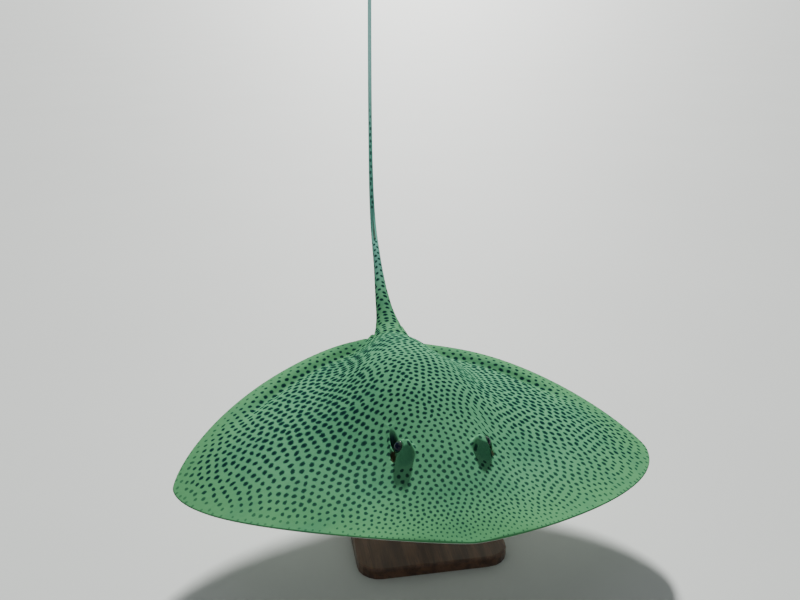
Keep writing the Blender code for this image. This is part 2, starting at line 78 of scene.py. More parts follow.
EYE = np.array([0.0765, 0.236, 0.0490])     # across, station, height of the eyeball's centre
EYE_RADIUS = 0.0125
BROW_HEIGHT, BROW_POWER = 0.022, 2.1
BROW_PLACE, BROW_SIZE = (0.0720, 0.229), (0.0158, 0.0205)
SPIRACLE_PLACE = ((0.0830, 0.0925), (0.266, 0.254))      # across, station: right and left
SPIRACLE_SIZE = ((0.0070, 0.0050), (0.0320, 0.0210))     # the left one is nearly shut
SPIRACLE_TURN = -0.02
SPIRACLE_DEPTH = 0.013
GROOVE_PLACE, GROOVE_SIZE = (0.0905, 0.232), (0.0060, 0.0190)     # under the eyeball
FOLDS_PLACE, FOLD_HEIGHT, FOLD_PITCH = (0.0800, 0.3000), 0.0006, 0.0062
MOUTH_STATION, MOUTH_WIDTH = 0.185, 0.085
GILL_STATIONS = (0.262, 0.288, 0.313, 0.336, 0.354)
GILL_ACROSS = (0.0975, 0.093, 0.087, 0.077, 0.0625)
GILL_LENGTH = 0.028
NOSTRIL, VENT_STATION = (0.0345, 0.1665), 0.800

TAIL_START = 0.830
TAIL_LENGTH = 2.30
TAIL_CENTRE_HEIGHT = 0.0125
TAIL_WIDTH = ((0.0, 0.0955), (0.025, 0.0860), (0.055, 0.0730), (0.085, 0.0635), (0.12, 0.0525),
              (0.16, 0.0440), (0.21, 0.0380), (0.27, 0.0320), (0.43, 0.0232), (0.64, 0.0187),
              (0.85, 0.0150), (1.04, 0.0127), (1.45, 0.0122), (1.90, 0.0072), (2.30, 0.0022))
TAIL_FLATNESS = ((0.0, 0.82), (0.10, 0.80), (0.30, 0.86), (0.60, 0.95), (2.30, 1.0))
# Rise and swing are the tail's heading in degrees, up and to the side.
TAIL_RISE = ((0.0, 0.0), (0.12, 14.0), (0.35, 6.0), (0.58, 7.0), (0.72, 24.0), (0.86, 52.0),
             (1.05, 76.0), (1.38, 76.0), (1.80, 50.0), (2.30, 16.0))
TAIL_SWING = ((0.0, 0.0), (0.05, 3.5), (0.12, 1.5), (0.20, 3.6), (0.35, 5.8), (0.70, 5.8),
              (1.30, 10.2), (2.30, 13.0))

WING_DROOP = (0.123, 0.087)                  # of the right and the left wing tip
SNOUT_RISE, REAR_DROOP, REAR_SWING = 0.012, 0.0286, 0.015
REAR_TWIST, TWIST_REACH = 0.117, 0.16
BANK = 0.042
TROUGH_DEPTH, TROUGH_INLAND, TROUGH_WIDTH = 0.014, (0.050, 0.18), 0.034
TROUGH_REACH = (0.05, 0.12, 0.28, 0.40)
DISC_HEIGHT, BODY_SHIFT = 0.245, -0.035

# %% [markdown]
# ## Camera first
#
# The view is set before anything is made, so that every later look is judged
# from the same place. The camera stands 1.76 disc widths from the middle of the
# disc, a little above it and swung to the animal's right, and looks down on it
# with the slightly wide lens of a phone.

# %% Camera
CAMERA_TURN = 0.176           # radians, swung from straight ahead of the snout
CAMERA_DIP = 0.3646           # radians below the level
CAMERA_PLACE = (-0.3065, -1.5127, 0.8369)      # from the disc's centre, in disc widths
LENS = 38.25                  # millimetres on a 36 mm sensor
FAR_CLIP = 200.0              # metres, past the floor's far end


def aim(place, ahead):
    """The matrix of a camera at a place that looks along a direction, kept upright."""
    ahead = ahead.normalized()
    right = ahead.cross(Vector((0, 0, 1))).normalized()
    turn = Matrix((right, right.cross(ahead), -ahead)).transposed().to_4x4()
    return Matrix.Translation(place) @ turn


lens = bpy.data.cameras.new("camera")
lens.lens, lens.sensor_width = LENS, 36.0
lens.clip_end = FAR_CLIP
camera = bpy.data.objects.new("camera", lens)
bpy.context.scene.collection.objects.link(camera)
camera.matrix_world = aim(
    Vector(CAMERA_PLACE) * DISC_WIDTH + Vector((0, BODY_SHIFT, DISC_HEIGHT)),
    Vector((math.sin(CAMERA_TURN) * math.cos(CAMERA_DIP),
            math.cos(CAMERA_TURN) * math.cos(CAMERA_DIP), -math.sin(CAMERA_DIP))))
bpy.context.scene.camera = camera
print("camera at", [round(v, 3) for v in camera.matrix_world.translation])

# %% [markdown]
# ## A small language for materials
#
# Node trees get long. Here a socket is wrapped so that it can be added to,
# multiplied and subtracted like a number, and one method makes any other node.
# A material then reads like the formula that it is.

# %% Helpers for materials
class Number:
    """A socket that carries a number; arithmetic on it adds Math nodes."""

    def __init__(self, paint, socket):
        self.paint, self.socket = paint, socket

    def _with(self, operation, first, second):
        return self.paint.node("ShaderNodeMath", {"operation": operation},
                               {0: first, 1: second})

    def __add__(self, other):
        return self._with("ADD", self, other)

    def __sub__(self, other):
        return self._with("SUBTRACT", self, other)

    def __rsub__(self, other):
        return self._with("SUBTRACT", other, self)

    def __mul__(self, other):
        return self._with("MULTIPLY", self, other)

    def __pow__(self, other):
        return self._with("POWER", self, other)

    __radd__, __rmul__ = __add__, __mul__


class Paint:
    """A Principled material and the one method that adds a node to it."""

    def __init__(self, name, **constants):
        self.material = bpy.data.materials.new(name)
        self.material.use_nodes = True
        self.tree = self.material.node_tree
        self.shader = self.tree.nodes["Principled BSDF"]
        for socket, value in constants.items():
            self.shader.inputs[socket.replace("_", " ")].default_value = value

    def node(self, kind, settings=None, inputs=None, output=0):
        """Adds a node, applies its settings, feeds its sockets, returns one output."""
        made = self.tree.nodes.new(kind)
        for name, value in (settings or {}).items():
            setattr(made, name, value)
        for name, value in (inputs or {}).items():
            if isinstance(value, Number):
                self.tree.links.new(value.socket, made.inputs[name])
            else:
                made.inputs[name].default_value = value
        return Number(self, made.outputs[output])

    def feed(self, **links):
        """Links values to the shader's own sockets."""
        for name, value in links.items():
            self.tree.links.new(value.socket, self.shader.inputs[name.replace("_", " ")])

    def blend(self, amount, first, second):
        """A colour between two, by an amount from 0 to 1."""
        def colour(value):
            return value if isinstance(value, Number) else (*value, 1.0)
        return self.node("ShaderNodeMix", {"data_type": "RGBA", "clamp_factor": True},
                         {0: amount, 6: colour(first), 7: colour(second)}, output=2)

    def ramp(self, amount, low, high):
        """0 below low, 1 above high and a smooth step between; low may be the larger."""
        return self.node("ShaderNodeMapRange", {"interpolation_type": "SMOOTHSTEP"},
                         {0: amount, 1: low, 2: high, 3: 0.0, 4: 1.0})

    def noise(self, scale, detail=3.0, roughness=0.5, where=None):
        """Noise over the piece's own coordinates, around 0.5."""
        return self.node("ShaderNodeTexNoise", {"noise_dimensions": "3D"},
                         {"Vector": where or self.place(), "Scale": scale, "Detail": detail,
                          "Roughness": roughness})

    def place(self):
        """The piece's own coordinates."""
        return self.node("ShaderNodeTexCoord", output=3)

    def stored(self, name, output=2):
        """A value stored on the mesh: output 2 is a number, 1 a vector."""
        return self.node("ShaderNodeAttribute", {"attribute_name": name}, output=output)

    def parts(self, name):
        """The three numbers of a stored vector."""
        split = self.node("ShaderNodeSeparateXYZ", {}, {0: self.stored(name, output=1)})
        outputs = split.socket.node.outputs
        return [Number(self, outputs[k]) for k in range(3)]

    def bump(self, height, distance, strength=1.0, after=None):
        """A normal from a height from 0 to 1; after is the normal it is laid over."""
        inputs = {"Height": height, "Distance": distance, "Strength": strength}
        if after is not None:
            inputs["Normal"] = after
        return self.node("ShaderNodeBump", {}, inputs)


print("material helpers ready")

# %% [markdown]
# ## Curves and steps
#
# A few short helpers carry most of the shapes: a smooth curve through a few
# points, a soft step, a bell, and spacing that crowds where the form is busy.
# The others turn grids of points into meshes and read meshes back.

# %% Helpers for shapes
def smooth_curve(points):
    """A smooth function through a few (place, value) points.

    Each inner point's slope is the harmonic mean of the slopes on its two
    sides, or level where they differ in sign, so the curve never overshoots.
    """
    places = np.array([p[0] for p in points])
    values = np.array([p[1] for p in points], dtype=float)
    steps = np.diff(places)
    rises = np.diff(values) / steps
    same = rises[:-1] * rises[1:] > 0.0
    mean = 2.0 * rises[:-1] * rises[1:] / np.where(same, rises[:-1] + rises[1:], 1.0)
    slopes = np.concatenate([rises[:1], np.where(same, mean, 0.0), rises[-1:]])

    def curve(at):
        at = np.clip(at, places[0], places[-1])
        k = np.clip(np.searchsorted(places, at, side="right") - 1, 0, len(steps) - 1)
        t = (at - places[k]) / steps[k]
        hold = (1 + 2 * t) * (1 - t) ** 2 * values[k] + t * t * (3 - 2 * t) * values[k + 1]
        lean = t * (1 - t) ** 2 * slopes[k] - t * t * (1 - t) * slopes[k + 1]
        return hold + steps[k] * lean

    return curve


def step(value, low, high):
    """0 below low, 1 above high, and 3t2 - 2t3 between."""
    t = np.clip((value - low) / (high - low), 0.0, 1.0)
    return t * t * (3.0 - 2.0 * t)


def bell(value, centre, spread):
    """1 at the centre and exp(-t2) away from it, t being the distance in spreads."""
    return np.exp(-((value - centre) / spread) ** 2)


def oval(across, station, place, size):
    """Distance from a place on either side of the body, 1 on an oval of that half size."""
    return np.hypot((np.abs(across) - place[0]) / size[0], (station - place[1]) / size[1])


def crowded(start, end, count, density):
    """Places from start to end, packed in proportion to a density function."""
    fine = np.linspace(start, end, 4001)
    weight = density(fine)
    total = np.concatenate([[0.0], np.cumsum(weight[1:] + weight[:-1])])
    return np.interp(np.linspace(0.0, total[-1], count), total, fine)


def grid_faces(rows, columns, offset=0, flip=False):
    """The quads of a grid of points, counter-clockwise seen from above, or flipped."""
    corner = (np.arange(rows - 1)[:, None] * columns + np.arange(columns - 1)[None, :]).ravel()
    quads = np.stack([corner, corner + 1, corner + columns + 1, corner + columns], axis=1)
    return (quads[:, ::-1] if flip else quads) + offset


def mesh_object(name, points, faces):
    """A mesh object from arrays of points and faces, its doubles merged."""
    mesh = bpy.data.meshes.new(name)
    mesh.from_pydata(points.tolist(), [], faces.tolist())
    work = bmesh.new()
    work.from_mesh(mesh)
    bmesh.ops.remove_doubles(work, verts=work.verts, dist=2e-6)
    work.to_mesh(mesh)
    work.free()
    thing = bpy.data.objects.new(name, mesh)
    bpy.context.scene.collection.objects.link(thing)
    return thing


def vertices_of(mesh):
    """The mesh's points as an array, one row each."""
    flat = np.empty(len(mesh.vertices) * 3, dtype=np.float32)
    mesh.vertices.foreach_get("co", flat)
    return flat.reshape(-1, 3).astype(np.float64)


def vertex_normals(mesh):
    """The normals at the mesh's points, one row each."""
    flat = np.empty(len(mesh.vertices) * 3, dtype=np.float32)
    mesh.vertex_normals.foreach_get("vector", flat)
    return flat.reshape(-1, 3)


def set_vertices(mesh, points):
    """Moves the mesh's points to an array of places."""
    mesh.vertices.foreach_set("co", points.astype(np.float32).ravel())
    mesh.update()


print("shape helpers ready")

# %% [markdown]
# ## The body as two height fields
#
# A ray is nearly flat, so its form is two sheets over one outline. The outline
# is four quadrants of a superellipse with a power of 1.5 ahead and 1.6 behind,
# which gives rounded rhombic corners. The back rises in a broad ridge over the
# spine and thins to a few millimetres at the margin. The brow over each eye is a
# short steep knob, and the spiracle beside it is a long deep slot through which
# the animal breathes.

# %% Form of the body
ridge_height, ridge_half = smooth_curve(RIDGE_HEIGHT), smooth_curve(RIDGE_HALF)
keel_depth = smooth_curve(KEEL_DEPTH)


def reach(station):
    """0 at the widest station and 1 at the snout or the rear end."""
    ahead = (WIDEST - station) / WIDEST
    behind = (station - WIDEST) / REAR_LENGTH
    return np.clip(np.where(station < WIDEST, ahead, behind), 0.0, 1.0)


def outline_power(station):
    """The superellipse's power: one ahead of the widest station, one behind it."""
    return np.where(station < WIDEST, FRONT_POWER, REAR_POWER)


def disc_half(station):
    """Half the width: 0.5 (1 - reach^p)^(1/p)."""
    power = outline_power(station)
    return 0.5 * (1.0 - reach(station) ** power) ** (1.0 / power)


def margin_ratio(across, station):
    """0 at the disc's middle, 1 on its margin, with level lines like the outline."""
    power = outline_power(station)
    ratio = (2.0 * np.abs(across)) ** power + reach(station) ** power
    return np.clip(ratio ** (1.0 / power), 0.0, 1.0)


def ridge_shape(across, station):
    """exp(-(distance from the midline / the ridge's half width)^2.7)."""
    return np.exp(-(np.abs(across) / ridge_half(station)) ** RIDGE_POWER)


def brow(across, station):
    """A bell with a flat crown over each eye."""
    u = (np.abs(across) - BROW_PLACE[0]) / BROW_SIZE[0]
    v = (station - BROW_PLACE[1]) / BROW_SIZE[1]
    return BROW_HEIGHT * np.exp(-(u * u + v * v) ** BROW_POWER)


def spiracle_frame(across, station):
    """Across and along the spiracle of the same side, each 1 on its rim."""
    width, length = (np.where(across < 0.0, *pair) for pair in SPIRACLE_SIZE)
    u, v = (value - np.where(across < 0.0, *pair)
            for value, pair in zip((np.abs(across), station), SPIRACLE_PLACE))
    turned_u = u * math.cos(SPIRACLE_TURN) + v * math.sin(SPIRACLE_TURN)
    turned_v = v * math.cos(SPIRACLE_TURN) - u * math.sin(SPIRACLE_TURN)
    return turned_u / width, turned_v / length


def spiracle_ring(across, station):
    """Distance from the middle of the nearer spiracle, 1 on its rim."""
    return np.hypot(*spiracle_frame(across, station))


def eye_groove(across, station):
    """Distance from the middle of the groove under the eye, which runs into the spiracle."""
    return oval(across, station, GROOVE_PLACE, GROOVE_SIZE)


EDGE_ROUND = 0.004                             # share of the way in that is rounded, about 2 mm


def rounded_edge(across, station):
    """The half thickness of the margin, rounded like a quarter of a circle at its rim."""
    inward = np.clip((1.0 - margin_ratio(across, station)) / EDGE_ROUND, 0.0, 1.0)
    return EDGE / 2 * np.sqrt(1.0 - (1.0 - inward) ** 2)


def back_height(across, station):
    """Rounded edge, a wing that swells inland, the ridge along the middle, and the brows."""
    ratio = margin_ratio(across, station)
    wing = WING_DEPTH * (1.0 - ratio ** 1.6) ** 1.8
    side = np.clip(np.abs(across) / np.maximum(disc_half(station), 1e-6), 0.0, 1.0)
    ridge = ridge_height(station) * ridge_shape(across, station) * (1.0 - side ** 8)
    return rounded_edge(across, station) + wing + ridge + brow(across, station)


def back_relief(across, station):
    """What the smooth back leaves out: the spiracles with their rims and folds."""
    ring = spiracle_ring(across, station)
    pit = -SPIRACLE_DEPTH * (1.0 - step(ring, 0.45, 1.05))
    pit = np.minimum(pit, -0.005 * (1.0 - step(eye_groove(across, station), 0.3, 1.1)))
    outer_side = step(spiracle_frame(across, station)[0], -0.6, 0.6)
    rim = 0.0016 * outer_side * bell(ring, 1.28, 0.22)
    behind = station - FOLDS_PLACE[1]
    away = np.hypot(np.abs(across) - FOLDS_PLACE[0], behind)
    folds = FOLD_HEIGHT * np.sin(away / FOLD_PITCH * 2 * math.pi) * step(behind, -0.004, 0.008)
    folds = folds * step(away, 0.004, 0.009) * (1.0 - step(away, 0.020, 0.034))
    return pit + rim + folds


def belly_height(across, station):
    """The same below: rounded edge, a shallow belly, and a keel towards the tail."""
    ratio = margin_ratio(across, station)
    belly = BELLY_DEPTH * (1.0 - ratio ** 3) ** 1.2
    keel = keel_depth(station) * ridge_shape(across, station)
    return -(rounded_edge(across, station) + belly + keel)


def mouth_line(across):
    """Station of the mouth: a bow whose ends run back, with a dip at its middle."""
    bow = across / (MOUTH_WIDTH / 2)
    dip = np.cos(np.minimum(np.abs(bow), 1.2) * math.pi * 1.5)
    return MOUTH_STATION + 0.010 * bow ** 2 - 0.006 * dip


# Openings of the underside: place, heading, half length and half width of each, then the
# depth and half width of its groove. Mouth, five gill slits, nostril, its slit, vent.
OPEN_ACROSS, OPEN_STATION, HEADING, HALF_LENGTH, HALF_WIDTH, DEPTH, GROOVE = np.array(
    [(0.0, MOUTH_STATION, 0.0, MOUTH_WIDTH / 2, 0.0026, 0.0032, 0.0045)]
    + [(across, station, 0.61 + 0.16 * number, GILL_LENGTH / 2, 0.0021, 0.0016, 0.0034)
       for number, (across, station) in enumerate(zip(GILL_ACROSS, GILL_STATIONS))]
    + [(*NOSTRIL, -0.55, 0.0085, 0.0034, 0.0020, 0.0040),
       (NOSTRIL[0] + 0.0045, NOSTRIL[1] + 0.0125, 1.35, 0.0085, 0.0009, 0.0, 0.0020),
       (0.0, VENT_STATION, math.pi / 2, 0.0120, 0.0032, 0.0018, 0.0050)]).T


def opening_frame(across, station):
    """For every opening (last axis): the place along it and athwart it, in metres."""
    across = np.abs(across)[..., None]
    station = np.asarray(station)[..., None]
    du, dv = across - OPEN_ACROSS, station - OPEN_STATION
    along = du * np.cos(HEADING) + dv * np.sin(HEADING)
    athwart = dv * np.cos(HEADING) - du * np.sin(HEADING)
    bowed = np.arange(len(HEADING)) == 0
    return along, np.where(bowed, station - mouth_line(across), athwart)


def belly_relief(across, station):
    """Grooves at the mouth, gills and vent, and the raised curtain from nostrils to mouth."""
    along, athwart = opening_frame(across, station)
    past = np.clip(np.abs(along) / HALF_LENGTH - 0.55, 0.0, None)
    groove = (DEPTH * np.exp(-(athwart / GROOVE) ** 2 - (past / 0.40) ** 2)).sum(axis=-1)
    ahead = mouth_line(np.abs(across)) - station
    curtain = step(ahead, 0.0010, 0.0050) * (1.0 - step(ahead, 0.0220, 0.0300))
    curtain = curtain * (1.0 - step(np.abs(across), NOSTRIL[0] - 0.002, NOSTRIL[0] + 0.008))
    return groove - 0.0018 * curtain


at = np.array([0.1, EYE[1], DISC_CENTRE, 0.7])
print("half widths:", disc_half(at).round(3), "back:", back_height(0 * at, at).round(3))

# %% [markdown]
# ## The pose
#
# The flat animal is bent in two ways. The disc droops towards its wing tips and
# rear as the square of the distance, which is how a gliding wing hangs. The tail
# follows a path that is added up from two gentle curves, its rise and its swing.

# %% Pose
TAIL_BLEND = (-0.03, 0.045)        # along the tail: trunk before, tail after
TAIL_SIDES = (0.040, 0.058)        # across: tail within, fins outside
PAST_FINS = (0.917, 0.927)         # stations: only tail from here on
tail_width, tail_flatness = smooth_curve(TAIL_WIDTH), smooth_curve(TAIL_FLATNESS)
tail_rise, tail_swing = smooth_curve(TAIL_RISE), smooth_curve(TAIL_SWING)


def rear_wave(across, station):
    """The trough of a slow wave that runs along each rear margin."""
    across = np.abs(across)
    margin = WIDEST + REAR_LENGTH * (
        1.0 - np.clip(2.0 * across, 0.0, 1.0) ** REAR_POWER) ** (1.0 / REAR_POWER)
    inland = TROUGH_INLAND[0] + TROUGH_INLAND[1] * across
    near, full, last, far = TROUGH_REACH
    shape = bell(margin - station, inland, TROUGH_WIDTH)
    return TROUGH_DEPTH * shape * step(across, near, full) * step(-across, -far, -last)


def posed_disc(across, station, height):
    """Droop by the square of the distance, then a bank about the long axis."""
    half = np.abs(across) / 0.5
    droop = np.where(across < 0.0, WING_DROOP[0], WING_DROOP[1])
    ahead = np.clip((DISC_CENTRE - station) / DISC_CENTRE, 0.0, None)
    behind = np.clip((station - DISC_CENTRE) / DISC_CENTRE, 0.0, 1.0)
    z = height - droop * half ** 2 + SNOUT_RISE * ahead ** 2 - REAR_DROOP * behind ** 2
    twist = REAR_TWIST * across * bell(across, 0.0, TWIST_REACH) * behind ** 2
    z = z - rear_wave(across, station) - twist
    x = across * (1.0 - 1.2 * droop ** 2 * half) + REAR_SWING * behind ** 2
    points = np.stack([x * math.cos(BANK) + z * math.sin(BANK), station - DISC_CENTRE + 0.0 * x,
                       z * math.cos(BANK) - x * math.sin(BANK)], axis=-1)
    return points * DISC_WIDTH + np.array([0.0, BODY_SHIFT, DISC_HEIGHT])


def tail_frame(count=2301):
    """The tail's middle line with its side and upward directions, added up from the root."""
    length = np.linspace(0.0, TAIL_LENGTH, count)
    rise, swing = np.radians(tail_rise(length)), np.radians(tail_swing(length))
    ahead = np.stack([np.cos(rise) * np.sin(swing), np.cos(rise) * np.cos(swing),
                      np.sin(rise)], axis=-1)
    side = np.stack([np.cos(swing), -np.sin(swing), 0.0 * swing], axis=-1)
    up = np.cross(side, ahead)
    runs = np.concatenate([np.zeros((1, 3)), np.cumsum((ahead[1:] + ahead[:-1]) / 2, axis=0)])
    root = posed_disc(np.array(0.0), np.array(TAIL_START), np.array(TAIL_CENTRE_HEIGHT))
    middle = root + runs * (length[1] - length[0]) * DISC_WIDTH
    return length, middle, side, up


TAIL = tail_frame()


def posed_tail(across, station, height):
    """A flat place carried along the tail's path; ahead of the root it runs on straight."""
    length, middle, side, up = TAIL
    along = station - TAIL_START
    read = [np.stack([np.interp(along, length, table[:, k]) for k in range(3)], axis=-1)
            for table in (middle, side, up)]
    straight = np.minimum(along, 0.0)[..., None] * np.array([0.0, 1.0, 0.0])
    above = (height - TAIL_CENTRE_HEIGHT)[..., None]
    return read[0] + straight + across[..., None] * read[1] + above * read[2]


def bend(points):
    """Takes flat points to their place in the glide, tail and disc blended at the root."""
    across, station, height = points.T
    tail = step(station, *(TAIL_START + place for place in TAIL_BLEND))
    tail = np.maximum(tail * (1.0 - step(np.abs(across), *TAIL_SIDES)),
                      step(station, *PAST_FINS))[:, None]
    return (1.0 - tail) * posed_disc(across, station, height) \
        + tail * posed_tail(across, station, height)


print("tail tip at", TAIL[1][-1].round(3))

# %% [markdown]
# ## The skin, laid flat
#
# One closed skin stands for all the nodes of flesh. It is made of four closed
# forms that are joined while they are flat: the disc, the tail and two pelvic
# fins, which peep out from under the disc's rear. The disc's rows run across
# it and crowd at the eyes, where the form is busiest.

# %% Flat disc
DISC_ROWS, BACK_COLUMNS, BELLY_COLUMNS = 250, 236, 96


def row_density(station):
    """Even steps along the margin, and closer rows at the head."""
    inside = np.clip(station, 0.0006, WIDEST + REAR_LENGTH - 0.0006)
    slope = (disc_half(inside + 0.0005) - disc_half(inside - 0.0005)) / 0.001
    return np.sqrt(1.0 + slope ** 2) + 3.6 * bell(station, 0.240, 0.040)


def back_density(u):
    """Across the back: closer at the eyes and towards both margins."""
    u = np.abs(u)
    return 1.0 + 2.6 * bell(u, 0.205, 0.060) + 9.0 * bell(u, 1.0, 0.010)


def belly_density(u):
    """Across the belly: closer under the mouth and gills and towards both margins."""
    u = np.abs(u)
    return 1.0 + 2.0 * bell(u, 0.0, 0.35) + 9.0 * bell(u, 1.0, 0.010)


def back_sheet(across, station):
    """Back and relief together."""
    return back_height(across, station) + back_relief(across, station)


def belly_sheet(across, station):
    """Belly and relief together."""
    return belly_height(across, station) + belly_relief(across, station)


def flat_disc():
    """Two sheets over the outline that share their margin."""
    stations = crowded(0.0, WIDEST + REAR_LENGTH, DISC_ROWS, row_density)[:, None]
    sheets, faces, offset = [], [], 0
    for count, density, height, flip in (
            (BACK_COLUMNS, back_density, back_sheet, False),
            (BELLY_COLUMNS, belly_density, belly_sheet, True)):
        u = crowded(-1.0, 1.0, count, density)[None, :]
        across = disc_half(stations) * u
        station = stations + 0.0 * u
        z = height(across, station)
        z[:, 0] = z[:, -1] = 0.0
        z[0, :] = z[-1, :] = 0.0
        sheets.append(np.stack([across, station, z], axis=-1).reshape(-1, 3))
        faces.append(grid_faces(DISC_ROWS, count, offset, flip))
        offset += DISC_ROWS * count
    return mesh_object("skin", np.concatenate(sheets), np.concatenate(faces))


skin = flat_disc()
print("flat disc:", len(skin.data.polygons), "faces")

# %% [markdown]
# The tail is a tube of ellipses. It starts inside the trunk, so that the join
# lies under the surface. Each pelvic fin is a thin lobe whose upper side follows
# the belly that it is tucked under.

# %% Flat tail and pelvic fins
PELVIC_START, PELVIC_END = 0.775, 0.915
PELVIC_SPAN = (0.034, 0.120)
PELVIC_THICKNESS = 0.0055
FREE_REAR_TIP = 0.886         # station where each pectoral fin's rear lobe ends


def capped_tube(name, rings, capped=True):
    """A closed tube from rings of points; each end closes on the ring's middle.

    A ring that is pressed flat needs no cap, because its two sides merge.
    """
    if capped:
        first, last = (np.repeat(ring.mean(axis=1, keepdims=True), rings.shape[1], axis=1)
                       for ring in (rings[:1], rings[-1:]))
        rings = np.concatenate([first, rings, last])
    closed = np.concatenate([rings, rings[:, :1]], axis=1)
    faces = grid_faces(closed.shape[0], closed.shape[1], flip=True)
    return mesh_object(name, closed.reshape(-1, 3), faces)


def flat_tail():
    """Ellipses along the tail: half width and half height from two smooth curves."""
    count, around = 300, 20
    along = crowded(-0.075, TAIL_LENGTH, count, lambda l: 1.0 + 1.5 * bell(l, 0.05, 0.25))
    turn = np.linspace(0.0, 2 * math.pi, around, endpoint=False)[None, :]
    half = tail_width(np.maximum(along, 0.0)) / 2
    half = (half * (1.0 - 0.55 * step(-along, 0.0, 0.075)))[:, None]
    tall = half * tail_flatness(np.maximum(along, 0.0))[:, None]
    rings = np.stack([half * np.cos(turn), TAIL_START + along[:, None] + 0.0 * turn,
                      TAIL_CENTRE_HEIGHT + tall * np.sin(turn)], axis=-1)
    return capped_tube("tail_tube", rings)


def flat_pelvic(side):
    """A lobe, its outline a swollen ellipse and its section thinned to the edge."""
    rows, around = 34, 40
    along = np.linspace(0.0, 1.0, rows)[:, None]
    turn = np.linspace(0.0, 2 * math.pi, around, endpoint=False)[None, :]
    over = 0.5 + 0.5 * np.cos(turn)
    swell = np.sin(math.pi * np.clip(0.08 + 0.86 * along, 0, 1)) ** 0.6
    across = PELVIC_SPAN[0] + (PELVIC_SPAN[1] - PELVIC_SPAN[0]) * swell * over
    end = PELVIC_END - 0.018 * over ** 2
    station = PELVIC_START + (end - PELVIC_START) * along
    lid = belly_height(across, np.minimum(station, FREE_REAR_TIP)) + 0.0004
    thin = 0.35 + 0.65 * (1.0 - over ** 2) * (1.0 - along ** 2)
    round_off = np.clip(np.sin(turn), -1.0, 1.0) * np.sqrt(np.clip(np.sin(math.pi * along), 0, 1))
    middle = lid - PELVIC_THICKNESS * thin / 2
    z = middle + PELVIC_THICKNESS * thin / 2 * np.sign(round_off) * np.abs(round_off) ** 0.4
    rings = np.stack([side * across, station, z], axis=-1)
    return capped_tube("pelvic", rings[:, ::-1] if side < 0 else rings, capped=False)


tail_tube = flat_tail()
pelvics = [flat_pelvic(side) for side in (-1, 1)]
print("tail:", len(tail_tube.data.polygons), "faces")

# %% [markdown]
# Between each pectoral fin's free rear tip and the tail there is a small notch.
# Two wedges cut it out of the disc before the tail and the pelvic fins join it.

# %% Join the forms
NOTCH_END, NOTCH_TALL = 0.915, 0.06
NOTCH_WIDTH, NOTCH_FLARE = 0.0488, 0.021       # half width at its front, and how it opens
SOFT_STATIONS, SOFT_ACROSS = (0.76, 0.82, 0.88, 0.94), (0.048, 0.076)


def notch_wedge(side):
    """A tall wedge that follows the fin's inner margin on one side and the tail on the other."""
    station = np.linspace(TAIL_START + 0.001, NOTCH_END, 24)
    past = np.clip((station - TAIL_START) / (FREE_REAR_TIP - TAIL_START), 0.0, 1.6)
    outer = NOTCH_WIDTH + NOTCH_FLARE * past ** 1.5
    inner = tail_width(station - TAIL_START) / 2 * 0.96
    levels = np.linspace(-NOTCH_TALL, NOTCH_TALL, 41)
    corners = [(outer, z) for z in levels] + [(inner, z) for z in levels[::-1]]
    rings = np.stack([np.stack([side * x, station, 0.0 * x + z], axis=-1)
                      for x, z in corners], axis=1)
    return capped_tube("notch", rings[:, ::-1] if side > 0 else rings)


def outward(thing):
    """Turns a closed mesh the right way round."""
    work = bmesh.new()
    work.from_mesh(thing.data)
    bmesh.ops.recalc_face_normals(work, faces=work.faces)
    work.to_mesh(thing.data)
    work.free()


def combine(thing, steps):
    """Joins or cuts closed meshes with exact Booleans and drops the helpers."""
    for operation, other in steps:
        outward(other)
        change = thing.modifiers.new(operation.lower(), "BOOLEAN")
        change.operation, change.solver, change.object = operation, "EXACT", other
    evaluated = thing.evaluated_get(bpy.context.evaluated_depsgraph_get())
    mesh = bpy.data.meshes.new_from_object(evaluated)
    thing.modifiers.clear()
    thing.data = mesh
    for _, other in steps:
        bpy.data.objects.remove(other)


outward(skin)
combine(skin, [("DIFFERENCE", notch_wedge(-1)), ("DIFFERENCE", notch_wedge(1)),
               ("UNION", tail_tube), ("UNION", pelvics[0]), ("UNION", pelvics[1])])
print("joined skin:", len(skin.data.polygons), "faces")


def soften_root(rounds=36):
    """Evens out the creases where tail, fins and trunk meet.

    Each point moves halfway to the mean of its neighbours and then back by a
    little less, which smooths and hardly shrinks. A soft window scales both, so
    the softened region ends without a step.
    """
    ends = np.empty(len(skin.data.edges) * 2, dtype=np.int32)
    skin.data.edges.foreach_get("vertices", ends)
    one, other = ends.reshape(-1, 2).T
    points = vertices_of(skin.data)
    count = len(points)
    across, station = np.abs(points[:, 0]), points[:, 1]
    window = step(station, *SOFT_STATIONS[:2]) * (1.0 - step(station, *SOFT_STATIONS[2:]))
    window = window * (1.0 - step(across, *SOFT_ACROSS))
    near = (window[one] > 0.0) | (window[other] > 0.0)
    one, other = one[near], other[near]
    ties = np.maximum(np.bincount(one, minlength=count) + np.bincount(other, minlength=count), 1)
    for turn in range(rounds):
        factor = 0.53 if turn % 2 == 0 else -0.50
        total = [np.bincount(one, points[other, k], count)
                 + np.bincount(other, points[one, k], count) for k in range(3)]
        mean = np.stack(total, axis=1) / ties[:, None]
        points = points + factor * window[:, None] * (mean - points)
    set_vertices(skin.data, points)


soften_root()

# %% [markdown]
# ## Eyelids
#
# A ray's eyeball looks sideways out of its knob, under a thick lid. The skin is
# drawn over the ball by distance: inside the opening it is pushed just under the
# ball's surface, outside it is lifted to lie over it like a lid.

# %% Eyelids
EYE_LOOKS = {-1.0: (-0.82, -0.36, 0.44), 1.0: (0.93, -0.14, 0.34)}   # right eye, left eye


def eye_look(side):
    """Unit line of sight: outward, a little forward and up; the right eye looks more ahead."""
    look = np.array(EYE_LOOKS[side])
    return look / np.linalg.norm(look)


